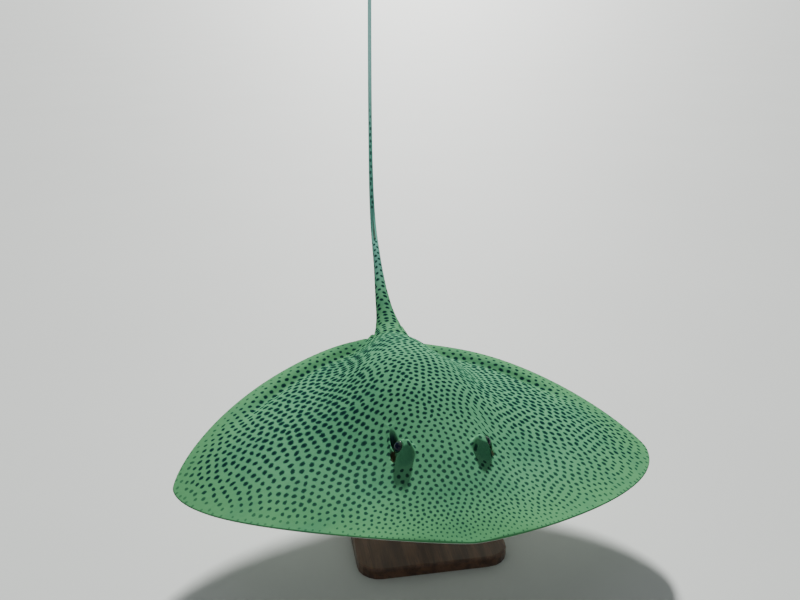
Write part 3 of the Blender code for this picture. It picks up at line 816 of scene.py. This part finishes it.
LID_OPENING = math.radians(60)
LID_SOFT = math.radians(8)
LID_THICKNESS, LID_TUCK = 0.0013, 0.0016


def draw_lids(points):
    """Moves flat skin points near each eyeball along the line from its centre."""
    moved = points.copy()
    for side in (-1.0, 1.0):
        mirror = np.array([side, 1.0, 1.0])
        away = moved - EYE * mirror
        far = np.linalg.norm(away, axis=1)
        near = (far < EYE_RADIUS + 0.010) & (moved[:, 2] > 0.0)
        angle = np.arccos(np.clip(away @ eye_look(side) / np.maximum(far, 1e-9), -1, 1))
        lid = step(angle, LID_OPENING - LID_SOFT, LID_OPENING + LID_SOFT)
        target = EYE_RADIUS - LID_TUCK + (LID_TUCK + LID_THICKNESS) * lid
        rim = 0.0007 * bell(angle, LID_OPENING + 0.22, 0.13)
        wanted = np.where(angle < LID_OPENING, np.minimum(far, target),
                          np.maximum(far, target + rim))
        pull = near * (1.0 - step(far, EYE_RADIUS + 0.005, EYE_RADIUS + 0.010))
        pull = pull * (1.0 - step(angle, 1.45, 2.05))
        new_far = far + (wanted - far) * pull
        scale = (new_far / np.maximum(far, 1e-9))[:, None]
        moved = np.where(near[:, None], EYE * mirror + away * scale, moved)
    return moved


flat_points = draw_lids(vertices_of(skin.data))
set_vertices(skin.data, flat_points)
print("lids drawn")

# %% [markdown]
# ## The spots
#
# The spots are the animal's signature. They are not scattered: each keeps its
# distance from its neighbours, so they fall into loose curving rows, closer and
# smaller on the head and towards the margin. Here random places push each other
# apart until they are evenly spread for the local spacing.

# %% Places of the spots
def from_margin(across, station):
    """Roughly how far inside the margin a place lies; the tail's root counts as inside."""
    root = 0.07 * bell(across, 0.0, 0.055) * step(station, 0.60, 0.74)
    return np.maximum((1.0 - margin_ratio(across, station)) * 0.45, root)


wing_spacing = smooth_curve(((0.0, 0.0096), (0.06, 0.0116), (0.12, 0.0144), (0.18, 0.0176),
                             (0.30, 0.0196), (0.42, 0.0206), (0.50, 0.0208), (0.60, 0.0206),
                             (0.75, 0.0216), (0.90, 0.0212)))


def over_body(across, station):
    """1 over the head and trunk, 0 on the wings, across a narrow border."""
    edge = 0.113 - 0.085 * np.clip(station - 0.30, 0.0, 0.45)
    return 1.0 - step(np.abs(across), edge - 0.028, edge + 0.028)


def spot_spacing(across, station):
    """Wider apart on the wings than on the body, and closer again by the margin."""
    closer = (0.08 + 0.21 * step(station, 0.10, 0.28)) * (1.0 - step(station, 0.58, 0.72))
    closer = closer * over_body(across, station) + 0.08 * step(np.abs(across), 0.28, 0.42)
    margin = 0.74 + 0.26 * step(from_margin(across, station), 0.0, 0.030)
    return wing_spacing(station) * (1.0 - closer) * margin


def neighbours(places, count):
    """The indices of each place's nearest others."""
    gap = ((places[:, None, :] - places[None, :, :]) ** 2).sum(axis=2)
    return np.argpartition(gap, count, axis=1)[:, :count + 1]


MARGIN_LIMIT = 0.992                           # spots stay inside this share of the way out


def spread_spots(rounds=64):
    """Random places, thinned to the wanted density, that then push each other apart.

    The density is one spot per 0.866 spacing squared, as on a triangular grid. In
    each round a place moves by 0.2 of how far its neighbours are too near.
    """
    draw = np.random.default_rng(7)
    length = WIDEST + REAR_LENGTH
    trial = draw.random((400000, 2)) * [1.0, length] - [0.5, 0.0]
    inside = margin_ratio(*trial.T) < MARGIN_LIMIT
    wanted = np.where(inside, 1.0 / (0.866 * spot_spacing(*trial.T) ** 2), 0.0)
    count = int(wanted.mean() * length)
    chosen = draw.choice(len(trial), count, replace=False, p=wanted / wanted.sum())
    places = trial[chosen].astype(np.float32)
    for turn in range(rounds):
        if turn % 8 == 0:
            near = neighbours(places, 14)
        apart = places[:, None, :] - places[near]
        far = np.linalg.norm(apart, axis=2) + 1e-9
        pitch = spot_spacing(*places.T)[:, None] * 1.22
        push = np.clip(pitch - far, 0.0, None) * (far > 1e-6)
        places = places + 0.20 * (apart / far[..., None] * push[..., None]).sum(axis=1)
        ratio = np.maximum(margin_ratio(*places.T), 1e-6)[:, None]
        middle = np.array([0.0, WIDEST])
        pulled = middle + (places - middle) * MARGIN_LIMIT / ratio
        places = np.where(ratio > MARGIN_LIMIT, pulled, places)
    places = places.astype(np.float64)
    near = neighbours(places, 3)
    gaps = np.sort(np.linalg.norm(places[:, None, :] - places[near], axis=2), axis=1)
    return places, gaps[:, 1], draw


# The front of each knob, the eyeball and the spiracle carry no spots.
KNOB_FRONT, KNOB_FRONT_SIZE = (0.0720, 0.2085), (0.0150, 0.0125)
EYEBALL_PLACE, EYEBALL_SIZE = (0.0850, 0.234), (0.0075, 0.0075)
spots, room, draw = spread_spots()
knob_front = oval(*spots.T, KNOB_FRONT, KNOB_FRONT_SIZE)
eyeball_ring = oval(*spots.T, EYEBALL_PLACE, EYEBALL_SIZE)
bare = (knob_front < 1.0) | (eyeball_ring < 1.0) | (spiracle_ring(*spots.T) < 1.25)
spots, room = spots[~bare], room[~bare]
print("spots on the disc:", len(spots))

# %% [markdown]
# On the tail the spots thin out: they cover its whole back at the root, then
# fall into three rows. Beside the sting only the flanks have spots, past it there
# is a single row, and this fades where the whip turns plain.

# %% Spots on the tail
tail_pitch = smooth_curve(((0.0, 0.0175), (0.10, 0.0185), (0.26, 0.0200), (0.60, 0.0215),
                           (0.70, 0.0240), (0.80, 0.0225), (1.20, 0.0185)))
TAIL_STRETCH = 1.80                           # longer along the tail where rows stand apart
tail_count = smooth_curve(((0.0, 12.0), (0.06, 9.0), (0.14, 6.0), (0.20, 4.6), (0.28, 3.4),
                           (0.36, 3.0), (0.50, 2.6), (1.20, 2.4)))
tail_size = smooth_curve(((0.0, 0.0060), (0.10, 0.0064), (0.26, 0.0055), (0.40, 0.0047),
                          (0.90, 0.0036), (1.20, 0.0030)))
FADING, LAST_TAIL_SPOT = 1.04, 1.17
LAST_BEFORE_STING, FIRST_PAST_STING = 0.575, 0.760
SPOTTED_GIRTH = 0.86                          # share of the girth that carries spots


def tail_rows():
    """(place round the tail, place along it, size) of each spot, all lengths."""
    found = []
    along = 0.016
    row = 0
    while along < LAST_TAIL_SPOT:
        half = float(tail_width(np.array(along))) / 2
        pitch = float(tail_pitch(np.array(along)))
        count = round(float(tail_count(np.array(along))))
        girth = 2 * math.pi * half * SPOTTED_GIRTH
        rounds = (np.arange(count) + 0.5 + 0.25 * (-1) ** row) * girth / count - girth / 2
        if along > FIRST_PAST_STING:
            rounds = np.array([0.0012 * (-1) ** row])
        elif along > LAST_BEFORE_STING:
            rounds = np.array([-1.55, 1.55]) * half
        size = float(tail_size(np.array(along)))
        found += [(r, along, size) for r in rounds]
        along += pitch
        row += 1
    return np.array(found)


tail_spots = tail_rows()
tail_spots[:, :2] += draw.normal(0.0, 1.0, (len(tail_spots), 2)) * [0.0007, 0.0016]
print("spots on the tail:", len(tail_spots))

# %% [markdown]
# Each face of the skin now learns its nearest spot. What is stored on its
# corners is the way from that spot's centre, in units of the spot's own radii,
# so the shader can draw a clean oval of any size however coarse the mesh is.

# %% Spot coordinates on the skin
def nearest(points, places, cell=0.022):
    """Index of the nearest place to each point, through a grid of buckets.

    Each place goes into a square cell, and a point only looks into its own cell
    and the eight around it.
    """
    low = np.minimum(points.min(axis=0), places.min(axis=0)) - 2 * cell
    high = np.maximum(points.max(axis=0), places.max(axis=0))
    size = np.ceil((high - low) / cell).astype(int) + 3
    home = ((places - low) / cell).astype(int)
    key = home[:, 0] * size[1] + home[:, 1]
    order = np.argsort(key, kind="stable")
    rank = np.arange(len(key)) - np.searchsorted(key[order], key[order])
    bucket = np.full((size[0] * size[1], rank.max() + 1), -1)
    bucket[key[order], rank] = order
    at = ((points - low) / cell).astype(int)
    best = np.zeros(len(points), dtype=int)
    least = np.full(len(points), np.inf)
    for dx in (-1, 0, 1):
        for dy in (-1, 0, 1):
            candidates = bucket[(at[:, 0] + dx) * size[1] + at[:, 1] + dy]
            for column in candidates.T:
                gap = ((points - places[column]) ** 2).sum(axis=1)
                gap = np.where(column < 0, np.inf, gap)
                closer = gap < least
                best = np.where(closer, column, best)
                least = np.where(closer, gap, least)
    return best


def spot_frames(places, radii, stretch_draw):
    """Two unit vectors and two radii for each spot: a slightly stretched, turned oval."""
    turn = stretch_draw.random(len(places)) * math.pi
    stretch = 1.0 + 0.34 * stretch_draw.random(len(places)) ** 1.6
    long_ones = stretch_draw.random(len(places)) < 0.04
    stretch = np.where(long_ones, stretch + 0.45, stretch)
    radii = radii * (0.88 + 0.22 * stretch_draw.random(len(places)))
    first = np.stack([np.cos(turn), np.sin(turn)], axis=1)
    second = np.stack([-np.sin(turn), np.cos(turn)], axis=1)
    return first / (radii * np.sqrt(stretch))[:, None], second / (radii / np.sqrt(stretch))[:, None]


LENGTHWISE = np.array([0.90, 1.18])            # spots are a little longer along the body
FOLD, FOLD_REACH = (0.094, 0.320), (0.018, 0.045)
STREAK_LENGTH, STREAK_WIDTH = 1.45, 0.55       # of a spot in the folds, in its own radii


def crease(places, radii, first, second):
    """Draws the spots out into streaks where the skin folds behind the left spiracle."""
    folded = (oval(*places.T, FOLD, FOLD_REACH) < 1.0) & (places[:, 0] > 0.0)
    folded, radii = folded[:, None], radii[:, None]
    way, cross = np.array([-0.40, 0.92]), np.array([0.92, 0.40])
    return (np.where(folded, way / (STREAK_LENGTH * radii), first),
            np.where(folded, cross / (STREAK_WIDTH * radii), second))


def round_tail(points):
    """Unrolls flat tail points: length round the girth from its top, and length along."""
    along = points[:, 1] - TAIL_START
    half = tail_width(np.maximum(along, 0.0)) / 2
    tall = half * tail_flatness(np.maximum(along, 0.0))
    turn = np.arctan2(points[:, 0] / half, (points[:, 2] - TAIL_CENTRE_HEIGHT) / tall)
    return np.stack([turn * half, along], axis=1)


def store(mesh, name, kind, domain, values):
    """Adds an attribute of a kind on points or corners and fills it."""
    layer = mesh.attributes.new(name, kind, domain)
    field = "vector" if kind == "FLOAT_VECTOR" else "value"
    layer.data.foreach_set(field, np.ascontiguousarray(values, dtype=np.float32).ravel())


def corner_layout(mesh):
    """Each corner's point and face, and each face's first corner and number of corners."""
    start = np.empty(len(mesh.polygons), dtype=np.int32)
    total = np.empty(len(mesh.polygons), dtype=np.int32)
    corner = np.empty(len(mesh.loops), dtype=np.int32)
    mesh.polygons.foreach_get("loop_start", start)
    mesh.polygons.foreach_get("loop_total", total)
    mesh.loops.foreach_get("vertex_index", corner)
    return corner, np.repeat(np.arange(len(start)), total), start, total


def store_spots(mesh, flat):
    """Writes the corner attribute "spot": two spot coordinates and the spot's strength.

    Spots are larger on the rear half and shrink towards the margin. They pale at the
    margin, most on the right side, a little on the snout, and on upright walls.
    """
    corner, face_of, start, total = corner_layout(mesh)
    corners = flat[corner]
    middle = np.add.reduceat(corners, start, axis=0) / total[:, None]
    on_tail = (middle[:, 1] > TAIL_START + 0.007) & (np.abs(middle[:, 0]) < 0.048)

    rear = step(spots[:, 1], 0.34, 0.50) * (1.0 - step(np.abs(spots[:, 0]), 0.26, 0.38))
    rear = rear * step(from_margin(*spots.T), 0.045, 0.090)
    size = 0.86 + 0.14 * step(spots[:, 1], 0.22, 0.40) + 0.14 * rear
    fringe = 0.20 + 0.26 * step(spots[:, 1], 0.45, 0.60)
    size = size * (1.0 - fringe * (1.0 - step(from_margin(*spots.T), 0.0, 0.085)))
    disc_radii = size * np.minimum(0.315 * spot_spacing(*spots.T), 0.365 * room)
    faint = 0.48 + 0.30 * step(spots[:, 0], -0.32, -0.08)
    strength = faint + (1.0 - faint) * step(from_margin(*spots.T), 0.001, 0.045)
    strength = strength * (0.88 + 0.12 * step(spots[:, 1], 0.16, 0.40))
    first, second = spot_frames(spots, disc_radii, draw)
    first, second = first / LENGTHWISE, second / LENGTHWISE
    first, second = crease(spots, disc_radii, first, second)
    mine = nearest(middle[:, :2], spots)[face_of]
    way = corners[:, :2] - spots[mine]
    up = vertex_normals(mesh)[corner, 2]
    on_disc = np.stack([(way * first[mine]).sum(axis=1), (way * second[mine]).sum(axis=1),
                        strength[mine] * step(up, 0.02, 0.22)], axis=1)

    first, second = spot_frames(tail_spots[:, :2], tail_spots[:, 2], draw)
    longer = 1.0 + (TAIL_STRETCH - 1.0) * step(tail_spots[:, 1], 0.12, 0.40)
    first[:, 1], second[:, 1] = first[:, 1] / longer, second[:, 1] / longer
    theirs = nearest(round_tail(middle), tail_spots[:, :2])[face_of]
    way = round_tail(corners) - tail_spots[theirs, :2]
    fade = 1.0 - step(tail_spots[:, 1], FADING, LAST_TAIL_SPOT)
    fade = fade * (1.0 - 0.30 * step(tail_spots[:, 1], 0.60, 0.80))
    along = np.stack([(way * first[theirs]).sum(axis=1), (way * second[theirs]).sum(axis=1),
                      fade[theirs]], axis=1)
    stored = np.where(on_tail[face_of][:, None], along, on_disc)
    store(mesh, "spot", "FLOAT_VECTOR", "CORNER", stored)


store_spots(skin.data, flat_points)
print("spot coordinates stored")

# %% [markdown]
# The openings of the underside use the same trick: each face below learns its
# nearest opening, and its corners store the way from it in units of its size.

# %% Openings of the underside
def store_openings(mesh, flat):
    """Writes the corner attribute "opening": two coordinates and 1 on the underside."""
    corner, face_of, start, total = corner_layout(mesh)
    middle = np.add.reduceat(flat[corner], start, axis=0) / total[:, None]
    along, athwart = opening_frame(middle[:, 0], middle[:, 1])
    gap = np.hypot(np.clip(np.abs(along) - HALF_LENGTH, 0.0, None), athwart)
    mine = gap.argmin(axis=1)[face_of]
    along, athwart = opening_frame(flat[corner, 0], flat[corner, 1])
    row = np.arange(len(corner))
    u = along[row, mine] / HALF_LENGTH[mine]
    v = athwart[row, mine] / HALF_WIDTH[mine]
    below = (middle[face_of, 2] < 0.0).astype(float)
    store(mesh, "opening", "FLOAT_VECTOR", "CORNER", np.stack([u, v, below], axis=1))


store_openings(skin.data, flat_points)
print("openings stored:", len(HEADING))

# %% [markdown]
# A few soft masks go on the points as well: where the pale underside begins,
# where the spiracle and the knob's front get painted shade, and how far along the
# tail and how far inside the margin a point lies.

# %% Masks on the skin
# Place and half size of the painted shade on the front of each eye knob.
KNOB_SHADE, KNOB_SHADE_SIZE = (0.0720, 0.210), (0.0170, 0.0150)


def store_masks(mesh, flat):
    """Writes the point attributes that the skin's material reads."""
    down = -vertex_normals(mesh)[:, 2]
    across, station, height = flat.T
    under = step(down, 0.05, 0.50) * (1.0 - step(height, 0.002, 0.016))
    # Painted shade for the spiracle and the groove under the eye.
    ring = np.minimum(spiracle_ring(across, station), 0.10 + eye_groove(across, station))
    pit = (1.0 - step(ring, 0.70, 1.02)) * (height > 0.0)
    store(mesh, "under", "FLOAT", "POINT", under)
    store(mesh, "pit", "FLOAT", "POINT", pit)
    store(mesh, "pit_place", "FLOAT", "POINT", spiracle_frame(across, station)[1])
    store(mesh, "along", "FLOAT", "POINT", np.clip(station - TAIL_START, 0.0, None))
    store(mesh, "inward", "FLOAT", "POINT", from_margin(across, np.minimum(station, 0.884)))
    # Painted shade over the front of each eye knob.
    painted_knob_shade = (1.0 - step(oval(across, station, KNOB_SHADE, KNOB_SHADE_SIZE), 0.55, 1.05))
    store(mesh, "painted_knob_shade", "FLOAT", "POINT", painted_knob_shade * (height > 0.0))


store_masks(skin.data, flat_points)
set_vertices(skin.data, bend(flat_points))
skin.data.shade_smooth()
print("skin bent into its glide:", len(skin.data.vertices), "points")

# %% [markdown]
# ## Skin
#
# Whipray skin is smooth and satin when wet. The ground is a muted green that
# shifts a little towards the margin and pales along the whip, partly its own plainer
# colour and partly painted light on the whip's shaded side, with blue-black spots
# whose edges are slightly ragged. The front of each eye knob is darkened with
# painted shade, and the spiracles and the grooves under the eyes are painted shade.
# The underside is white, with a warm rim round each opening, and each opening is
# painted shade. Soft ramps turn the stored numbers into colours, so the
# pattern stays sharp from any distance.

# %% Skin material
GROUND_RIM, GROUND_MID = (0.079, 0.258, 0.109), (0.089, 0.284, 0.144)
GROUND_DEEP, GROUND_TAIL = (0.046, 0.178, 0.099), (0.082, 0.226, 0.175)
# Whip colours: partly the whip's own paler plain colour, partly painted light on its shaded side.
WHIP_MID_WITH_PAINTED_LIGHT, WHIP_PALE_WITH_PAINTED_LIGHT = (0.170, 0.500, 0.390), (0.400, 0.760, 0.720)
SPOT_DARK, SPOT_SOFT = (0.004, 0.020, 0.020), (0.012, 0.050, 0.040)
# Painted shade inside the spiracles and the grooves under the eyes: near black, browner ahead,
# bluer behind.
PIT_SHADE_DARK, PIT_SHADE_BROWN = (0.008, 0.026, 0.017), (0.030, 0.030, 0.014)
PIT_SHADE_BLUE = (0.030, 0.075, 0.080)
WHITE_SIDE, WHITE_SHADE = (0.74, 0.78, 0.72), (0.62, 0.68, 0.63)
# Warm rim round each opening of the underside, and painted shade inside each opening.
LIP_TINT, SLIT_SHADE = (0.50, 0.46, 0.42), (0.050, 0.038, 0.036)


def skin_material():
    """Ground, spots, painted knob and pit shade above, white with painted shade in its openings
    below, then the fine relief.
    """
    paint = Paint("whipray_skin", Specular_IOR_Level=0.0)
    inward, under = paint.stored("inward"), paint.stored("under")
    mottle = paint.noise(9.0, 4.0, 0.6)
    ground = paint.blend(paint.ramp(inward, 0.0, 0.16), GROUND_RIM, GROUND_MID)
    ground = paint.blend(paint.ramp(mottle, 0.42, 0.78) * 0.55, ground, GROUND_DEEP)
    # Painted shade: the front of each eye knob is darkened towards the deep green.
    ground = paint.blend(paint.stored("painted_knob_shade") * 0.65, ground, GROUND_DEEP)
    along = paint.stored("along")
    ground = paint.blend(paint.ramp(along, 0.10, 0.45), ground, GROUND_TAIL)
    # Towards the whip the ground pales: partly the whip's own plainer colour, partly painted light
    # on its shaded side.
    ground = paint.blend(paint.ramp(along, 0.40, 0.75), ground, WHIP_MID_WITH_PAINTED_LIGHT)
    ground = paint.blend(paint.ramp(along, 0.95, 1.35), ground, WHIP_PALE_WITH_PAINTED_LIGHT)
    u, v, strength = paint.parts("spot")
    ragged = (paint.noise(260.0, 2.0) - 0.5) * 0.75
    away = (u * u + v * v) ** 0.5 + ragged
    mask = paint.ramp(away, 1.22, 0.78) * strength
    core = paint.ramp(away, 1.00, 0.30)
    spot_colour = paint.blend(core, SPOT_SOFT, SPOT_DARK)
    upper = paint.blend(mask, ground, spot_colour)
    # Painted shade in the spiracles and the grooves under the eyes, tinted brown ahead and blue
    # behind.
    along_pit = paint.stored("pit_place")
    pit = paint.blend(paint.ramp(along_pit, -0.2, -0.7) * 0.8, PIT_SHADE_DARK, PIT_SHADE_BROWN)
    pit = paint.blend(paint.ramp(along_pit, 0.2, 0.8) * 0.8, pit, PIT_SHADE_BLUE)
    upper = paint.blend(paint.stored("pit"), upper, pit)
    u, v, below = paint.parts("opening")
    away = ((u * u) * (u * u) + v * v) ** 0.5
    lower = paint.blend(paint.ramp(mottle, 0.35, 0.75) * 0.6, WHITE_SIDE, WHITE_SHADE)
    lower = paint.blend(paint.ramp(away, 3.2, 0.9) * 0.5, lower, LIP_TINT)
    # Painted shade inside the mouth, gill slits, nostrils and vent.
    lower = paint.blend(paint.ramp(away, 1.15, 0.70), lower, SLIT_SHADE)
    colour = paint.blend(under, upper, lower)
    fine = paint.noise(900.0, 2.0)
    broad = paint.noise(60.0, 3.0)
    normal = paint.bump(fine, 0.0004, 0.35)
    normal = paint.bump(broad, 0.003, 0.18, after=normal)
    normal = paint.bump(paint.ramp(away, 0.6, 1.5) * below, 0.0015, 0.8, after=normal)
    paint.feed(Base_Color=colour, Roughness=0.52 + broad * 0.16, Normal=normal)
    return paint.material


skin.data.materials.append(skin_material())
print("skin material:", len(skin.data.materials[0].node_tree.nodes), "nodes")

# %% [markdown]
# ## Eyes
#
# The eyeball is dark and glossy, with a wide blue-black pupil in a narrow dark
# green iris and a paler rim. It is a ball of revolution about its line of sight,
# with the cornea standing a little proud, and its material reads the angle from
# that line.

# %% Eyes
CORNEA = 0.05                                  # how far it stands out, in eyeball radii
EYE_ROWS, EYE_COLUMNS = 49, 65
PUPIL, EYE_RIM = (0.001, 0.005, 0.022), (0.055, 0.130, 0.085)
IRIS_DARK, IRIS_LIGHT = (0.010, 0.032, 0.026), (0.034, 0.070, 0.042)


def eyeball(side, name):
    """Rings about the line of sight: radius R (1 + cornea x bell(angle))."""
    mirror = np.array([side, 1.0, 1.0])
    centre = bend((EYE * mirror)[None, :])[0]
    look = eye_look(side)
    level = np.cross(look, [0.0, 0.0, 1.0])
    level = level / np.linalg.norm(level)
    up = np.cross(level, look)
    angle = np.linspace(0.0, math.pi, EYE_ROWS)[:, None]
    turn = np.linspace(0.0, 2 * math.pi, EYE_COLUMNS)[None, :]
    radius = EYE_RADIUS * (1.0 + CORNEA * bell(angle, 0.0, 0.6))
    sight = np.stack([np.sin(angle) * np.cos(turn), np.sin(angle) * np.sin(turn),
                      np.cos(angle) + 0.0 * turn], axis=-1)
    axes = np.stack([level, up, look])
    points = centre + radius[..., None] * (sight @ axes)
    thing = mesh_object(name, points.reshape(-1, 3), grid_faces(EYE_ROWS, EYE_COLUMNS))
    outward(thing)
    away = vertices_of(thing.data) - centre
    away = away / np.linalg.norm(away, axis=1)[:, None]
    store(thing.data, "sight", "FLOAT_VECTOR", "POINT", away @ axes.T)
    thing.data.shade_smooth()
    return thing


def eye_material():
    """Pupil, iris and rim by the distance from the line of sight, drawn slightly oval."""
    paint = Paint("eye_gloss", Roughness=0.15, Specular_IOR_Level=0.22, Coat_Weight=0.12,
                  Coat_Roughness=0.05)
    u, v, _ = paint.parts("sight")
    away = ((u * 0.82) * (u * 0.82) + v * v) ** 0.5
    ragged = (paint.noise(1400.0, 3.0) - 0.5) * 0.08
    iris = paint.blend(paint.ramp(paint.noise(2200.0, 2.0), 0.35, 0.7), IRIS_DARK, IRIS_LIGHT)
    colour = paint.blend(paint.ramp(away + ragged, 0.66, 0.56), iris, PUPIL)
    paint.feed(Base_Color=paint.blend(paint.ramp(away, 0.84, 0.94), colour, EYE_RIM))
    return paint.material


eye_paint = eye_material()
eyes = []
for side, word in ((-1.0, "right"), (1.0, "left")):
    eye = eyeball(side, "eyeball_" + word)
    eye.data.materials.append(eye_paint)
    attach(eye, "root")
    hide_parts("eye_" + word)
    eyes.append(eye)
print("eyes at", [tuple(round(c, 3) for c in vertices_of(e.data).mean(axis=0)) for e in eyes])

# %% [markdown]
# ## The sting
#
# A whipray carries a flat, saw-edged spine on the tail's back, a little over half
# a disc width behind the trunk. It lifts slightly off the tail towards its tip. Its
# horn is dull and dark here, as in a living animal whose sting is in its sheath.

# %% Sting
SPINE_START, SPINE_LENGTH = 0.585, 0.120
SPINE_WIDTH, SPINE_THICKNESS, SPINE_LIFT = 0.0075, 0.0028, 0.005
SPINE_BARBS, BARB_DEPTH = 44, 0.20            # the depth is a share of the half width
HORN_LIGHT, HORN_DARK = (0.085, 0.150, 0.115), (0.040, 0.075, 0.055)


def sting():
    """A tapering blade with a grooved back; its sides are a saw wave of short barbs."""
    t = np.linspace(0.0, 1.0, 8 * SPINE_BARBS + 1)[:, None]
    turn = np.linspace(0.0, 2 * math.pi, 16, endpoint=False)[None, :]
    taper = np.clip(1.0 - t, 0.0, 1.0) ** 0.55 * (0.80 + 0.20 * np.minimum(1.0, t * 8))
    saw = 1.0 - (t * SPINE_BARBS) % 1.0
    barbs = 1.0 - BARB_DEPTH * saw * step(t, 0.06, 0.16)
    half = SPINE_WIDTH / 2 * np.maximum(taper, 0.03) * barbs
    thick = SPINE_THICKNESS / 2 * (0.30 + 0.70 * (1.0 - t))
    groove = 0.30 * bell(np.cos(turn), 0.0, 0.28) * (np.sin(turn) > 0)
    across = half * np.cos(turn)
    above = thick * (np.sin(turn) * np.abs(np.sin(turn)) ** -0.3 * (1.0 - groove))
    along = SPINE_START + SPINE_LENGTH * t + 0.0 * turn
    lift = tail_width(along) / 2 * tail_flatness(along) + 0.0012 + SPINE_LIFT * t ** 2
    points = np.stack([across, TAIL_START + along, TAIL_CENTRE_HEIGHT + lift + thick + above],
                      axis=-1)
    shape = posed_tail(*[points[..., k] for k in range(3)])
    thing = capped_tube("sting", shape)
    outward(thing)
    thing.data.shade_smooth()
    return thing


def horn_material():
    """Matt horn with a fine grain that also roughens it."""
    paint = Paint("sting_horn", Specular_IOR_Level=0.0)
    grain = paint.noise(340.0, 4.0, 0.6)
    colour = paint.blend(paint.ramp(grain, 0.35, 0.7), HORN_LIGHT, HORN_DARK)
    paint.feed(Base_Color=colour, Roughness=0.50 + grain * 0.20,
               Normal=paint.bump(grain, 0.0004, 0.4))
    return paint.material


spine = sting()
spine.data.materials.append(horn_material())
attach(spine, "root")
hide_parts("tail_spine")
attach(skin, "root")
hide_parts("head", "trunk", "pectoral_fin_left", "pectoral_fin_right", "pelvic_fin_left",
            "pelvic_fin_right", "tail_base", "tail_whip_1", "tail_whip_2", "tail_whip_3")
print("sting:", len(spine.data.polygons), "faces")

# %% [markdown]
# ## Stand
#
# The solids of the stand have the right shape already, so they stay and only
# get their finishes: dark stained wood for the plate, brushed steel for the rods.
# Both are noise that a mapping draws out along the grain.

# %% Finishes of the stand
WOOD_DARK, WOOD_LIGHT = (0.060, 0.028, 0.015), (0.135, 0.065, 0.034)
WOOD_PORE = (0.025, 0.012, 0.008)
STEEL_DARK, STEEL_LIGHT = (0.50, 0.50, 0.52), (0.70, 0.70, 0.72)


def drawn_out(paint, scale):
    """The piece's own coordinates, scaled along each axis."""
    return paint.node("ShaderNodeMapping", {}, {"Vector": paint.place(), "Scale": scale})


def wood_material():
    """Long grain along Y: stretched noise bands, with fine pores."""
    paint = Paint("stained_wood", Coat_Weight=0.25, Coat_Roughness=0.18)
    bands = paint.noise(2.2, 6.0, 0.62, where=drawn_out(paint, (26.0, 2.2, 26.0)))
    pores = paint.noise(1.0, 2.0, 0.5, where=drawn_out(paint, (420.0, 22.0, 420.0)))
    colour = paint.blend(paint.ramp(bands, 0.35, 0.65), WOOD_DARK, WOOD_LIGHT)
    colour = paint.blend(paint.ramp(pores, 0.60, 0.72) * 0.6, colour, WOOD_PORE)
    paint.feed(Base_Color=colour, Roughness=0.34 + bands * 0.14,
               Normal=paint.bump(pores, 0.0003, 0.35))
    return paint.material


def steel_material():
    """Brushed along the rod: noise stretched by the height."""
    paint = Paint("brushed_steel", Metallic=1.0)
    lines = paint.noise(1.0, 3.0, 0.6, where=drawn_out(paint, (1500.0, 1500.0, 12.0)))
    paint.feed(Base_Color=paint.blend(lines, STEEL_DARK, STEEL_LIGHT),
               Roughness=0.22 + lines * 0.16,
               Normal=paint.bump(lines, 0.0002, 0.25))
    return paint.material


wood, steel = wood_material(), steel_material()
for name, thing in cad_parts.items():
    if name.startswith("stand_"):
        thing.data.materials.clear()
        thing.data.materials.append(wood if name == "stand_base" else steel)
print("stand finished")

# %% [markdown]
# ## Floor and light
#
# A plain pale floor, one parallel light and two large soft ones. The parallel one
# is the strongest. It comes from behind and above the animal, as daylight falls
# through water towards the viewer, so the eye knobs throw short shadows forward
# over the snout, and the floor is lit evenly right up to the horizon.

# %% Floor and light
FLOOR_HALF, SOFTBOX_SIZE = 60.0, 2.6
FLOOR_DARK, FLOOR_LIGHT = (0.52, 0.54, 0.53), (0.56, 0.58, 0.57)
AIM = (0.0, BODY_SHIFT, DISC_HEIGHT)
WORLD_TINT, WORLD_STRENGTH = (0.80, 0.86, 0.88, 1.0), 0.20


def pale_floor():
    """A large square with a faint mottling."""
    mesh = bpy.data.meshes.new("floor")
    half = FLOOR_HALF
    mesh.from_pydata([(-half, -half, 0), (half, -half, 0), (half, half, 0), (-half, half, 0)],
                     [], [(0, 1, 2, 3)])
    thing = bpy.data.objects.new("floor", mesh)
    bpy.context.scene.collection.objects.link(thing)
    paint = Paint("pale_floor", Roughness=0.75)
    paint.feed(Base_Color=paint.blend(paint.noise(1.3, 2.0), FLOOR_DARK, FLOOR_LIGHT))
    mesh.materials.append(paint.material)
    return thing


def lamp(name, kind, place, power, tint=(1.0, 1.0, 1.0)):
    """A light of a kind at a place, turned towards the animal."""
    light = bpy.data.lights.new(name, kind)
    light.energy, light.color = power, tint
    thing = bpy.data.objects.new(name, light)
    bpy.context.scene.collection.objects.link(thing)
    thing.location = place
    thing.rotation_euler = (Vector(AIM) - Vector(place)).to_track_quat("-Z", "Y").to_euler()
    return light


floor = pale_floor()
lamp("key_behind", "SUN", (0.67, 3.3, 1.95), 9.4, (1.0, 1.0, 0.97)).angle = math.radians(4.5)
for softbox in (lamp("top", "AREA", (-0.3, -0.2, 3.2), 12.0),
                lamp("fill_front", "AREA", (-1.8, -3.4, 1.9), 9.0, (0.95, 0.98, 1.0))):
    softbox.shape, softbox.size = "SQUARE", SOFTBOX_SIZE
world = bpy.data.worlds.new("studio")
world.use_nodes = True
background = world.node_tree.nodes["Background"]
background.inputs[0].default_value = WORLD_TINT
background.inputs[1].default_value = WORLD_STRENGTH
bpy.context.scene.world = world
print("floor and lights ready")
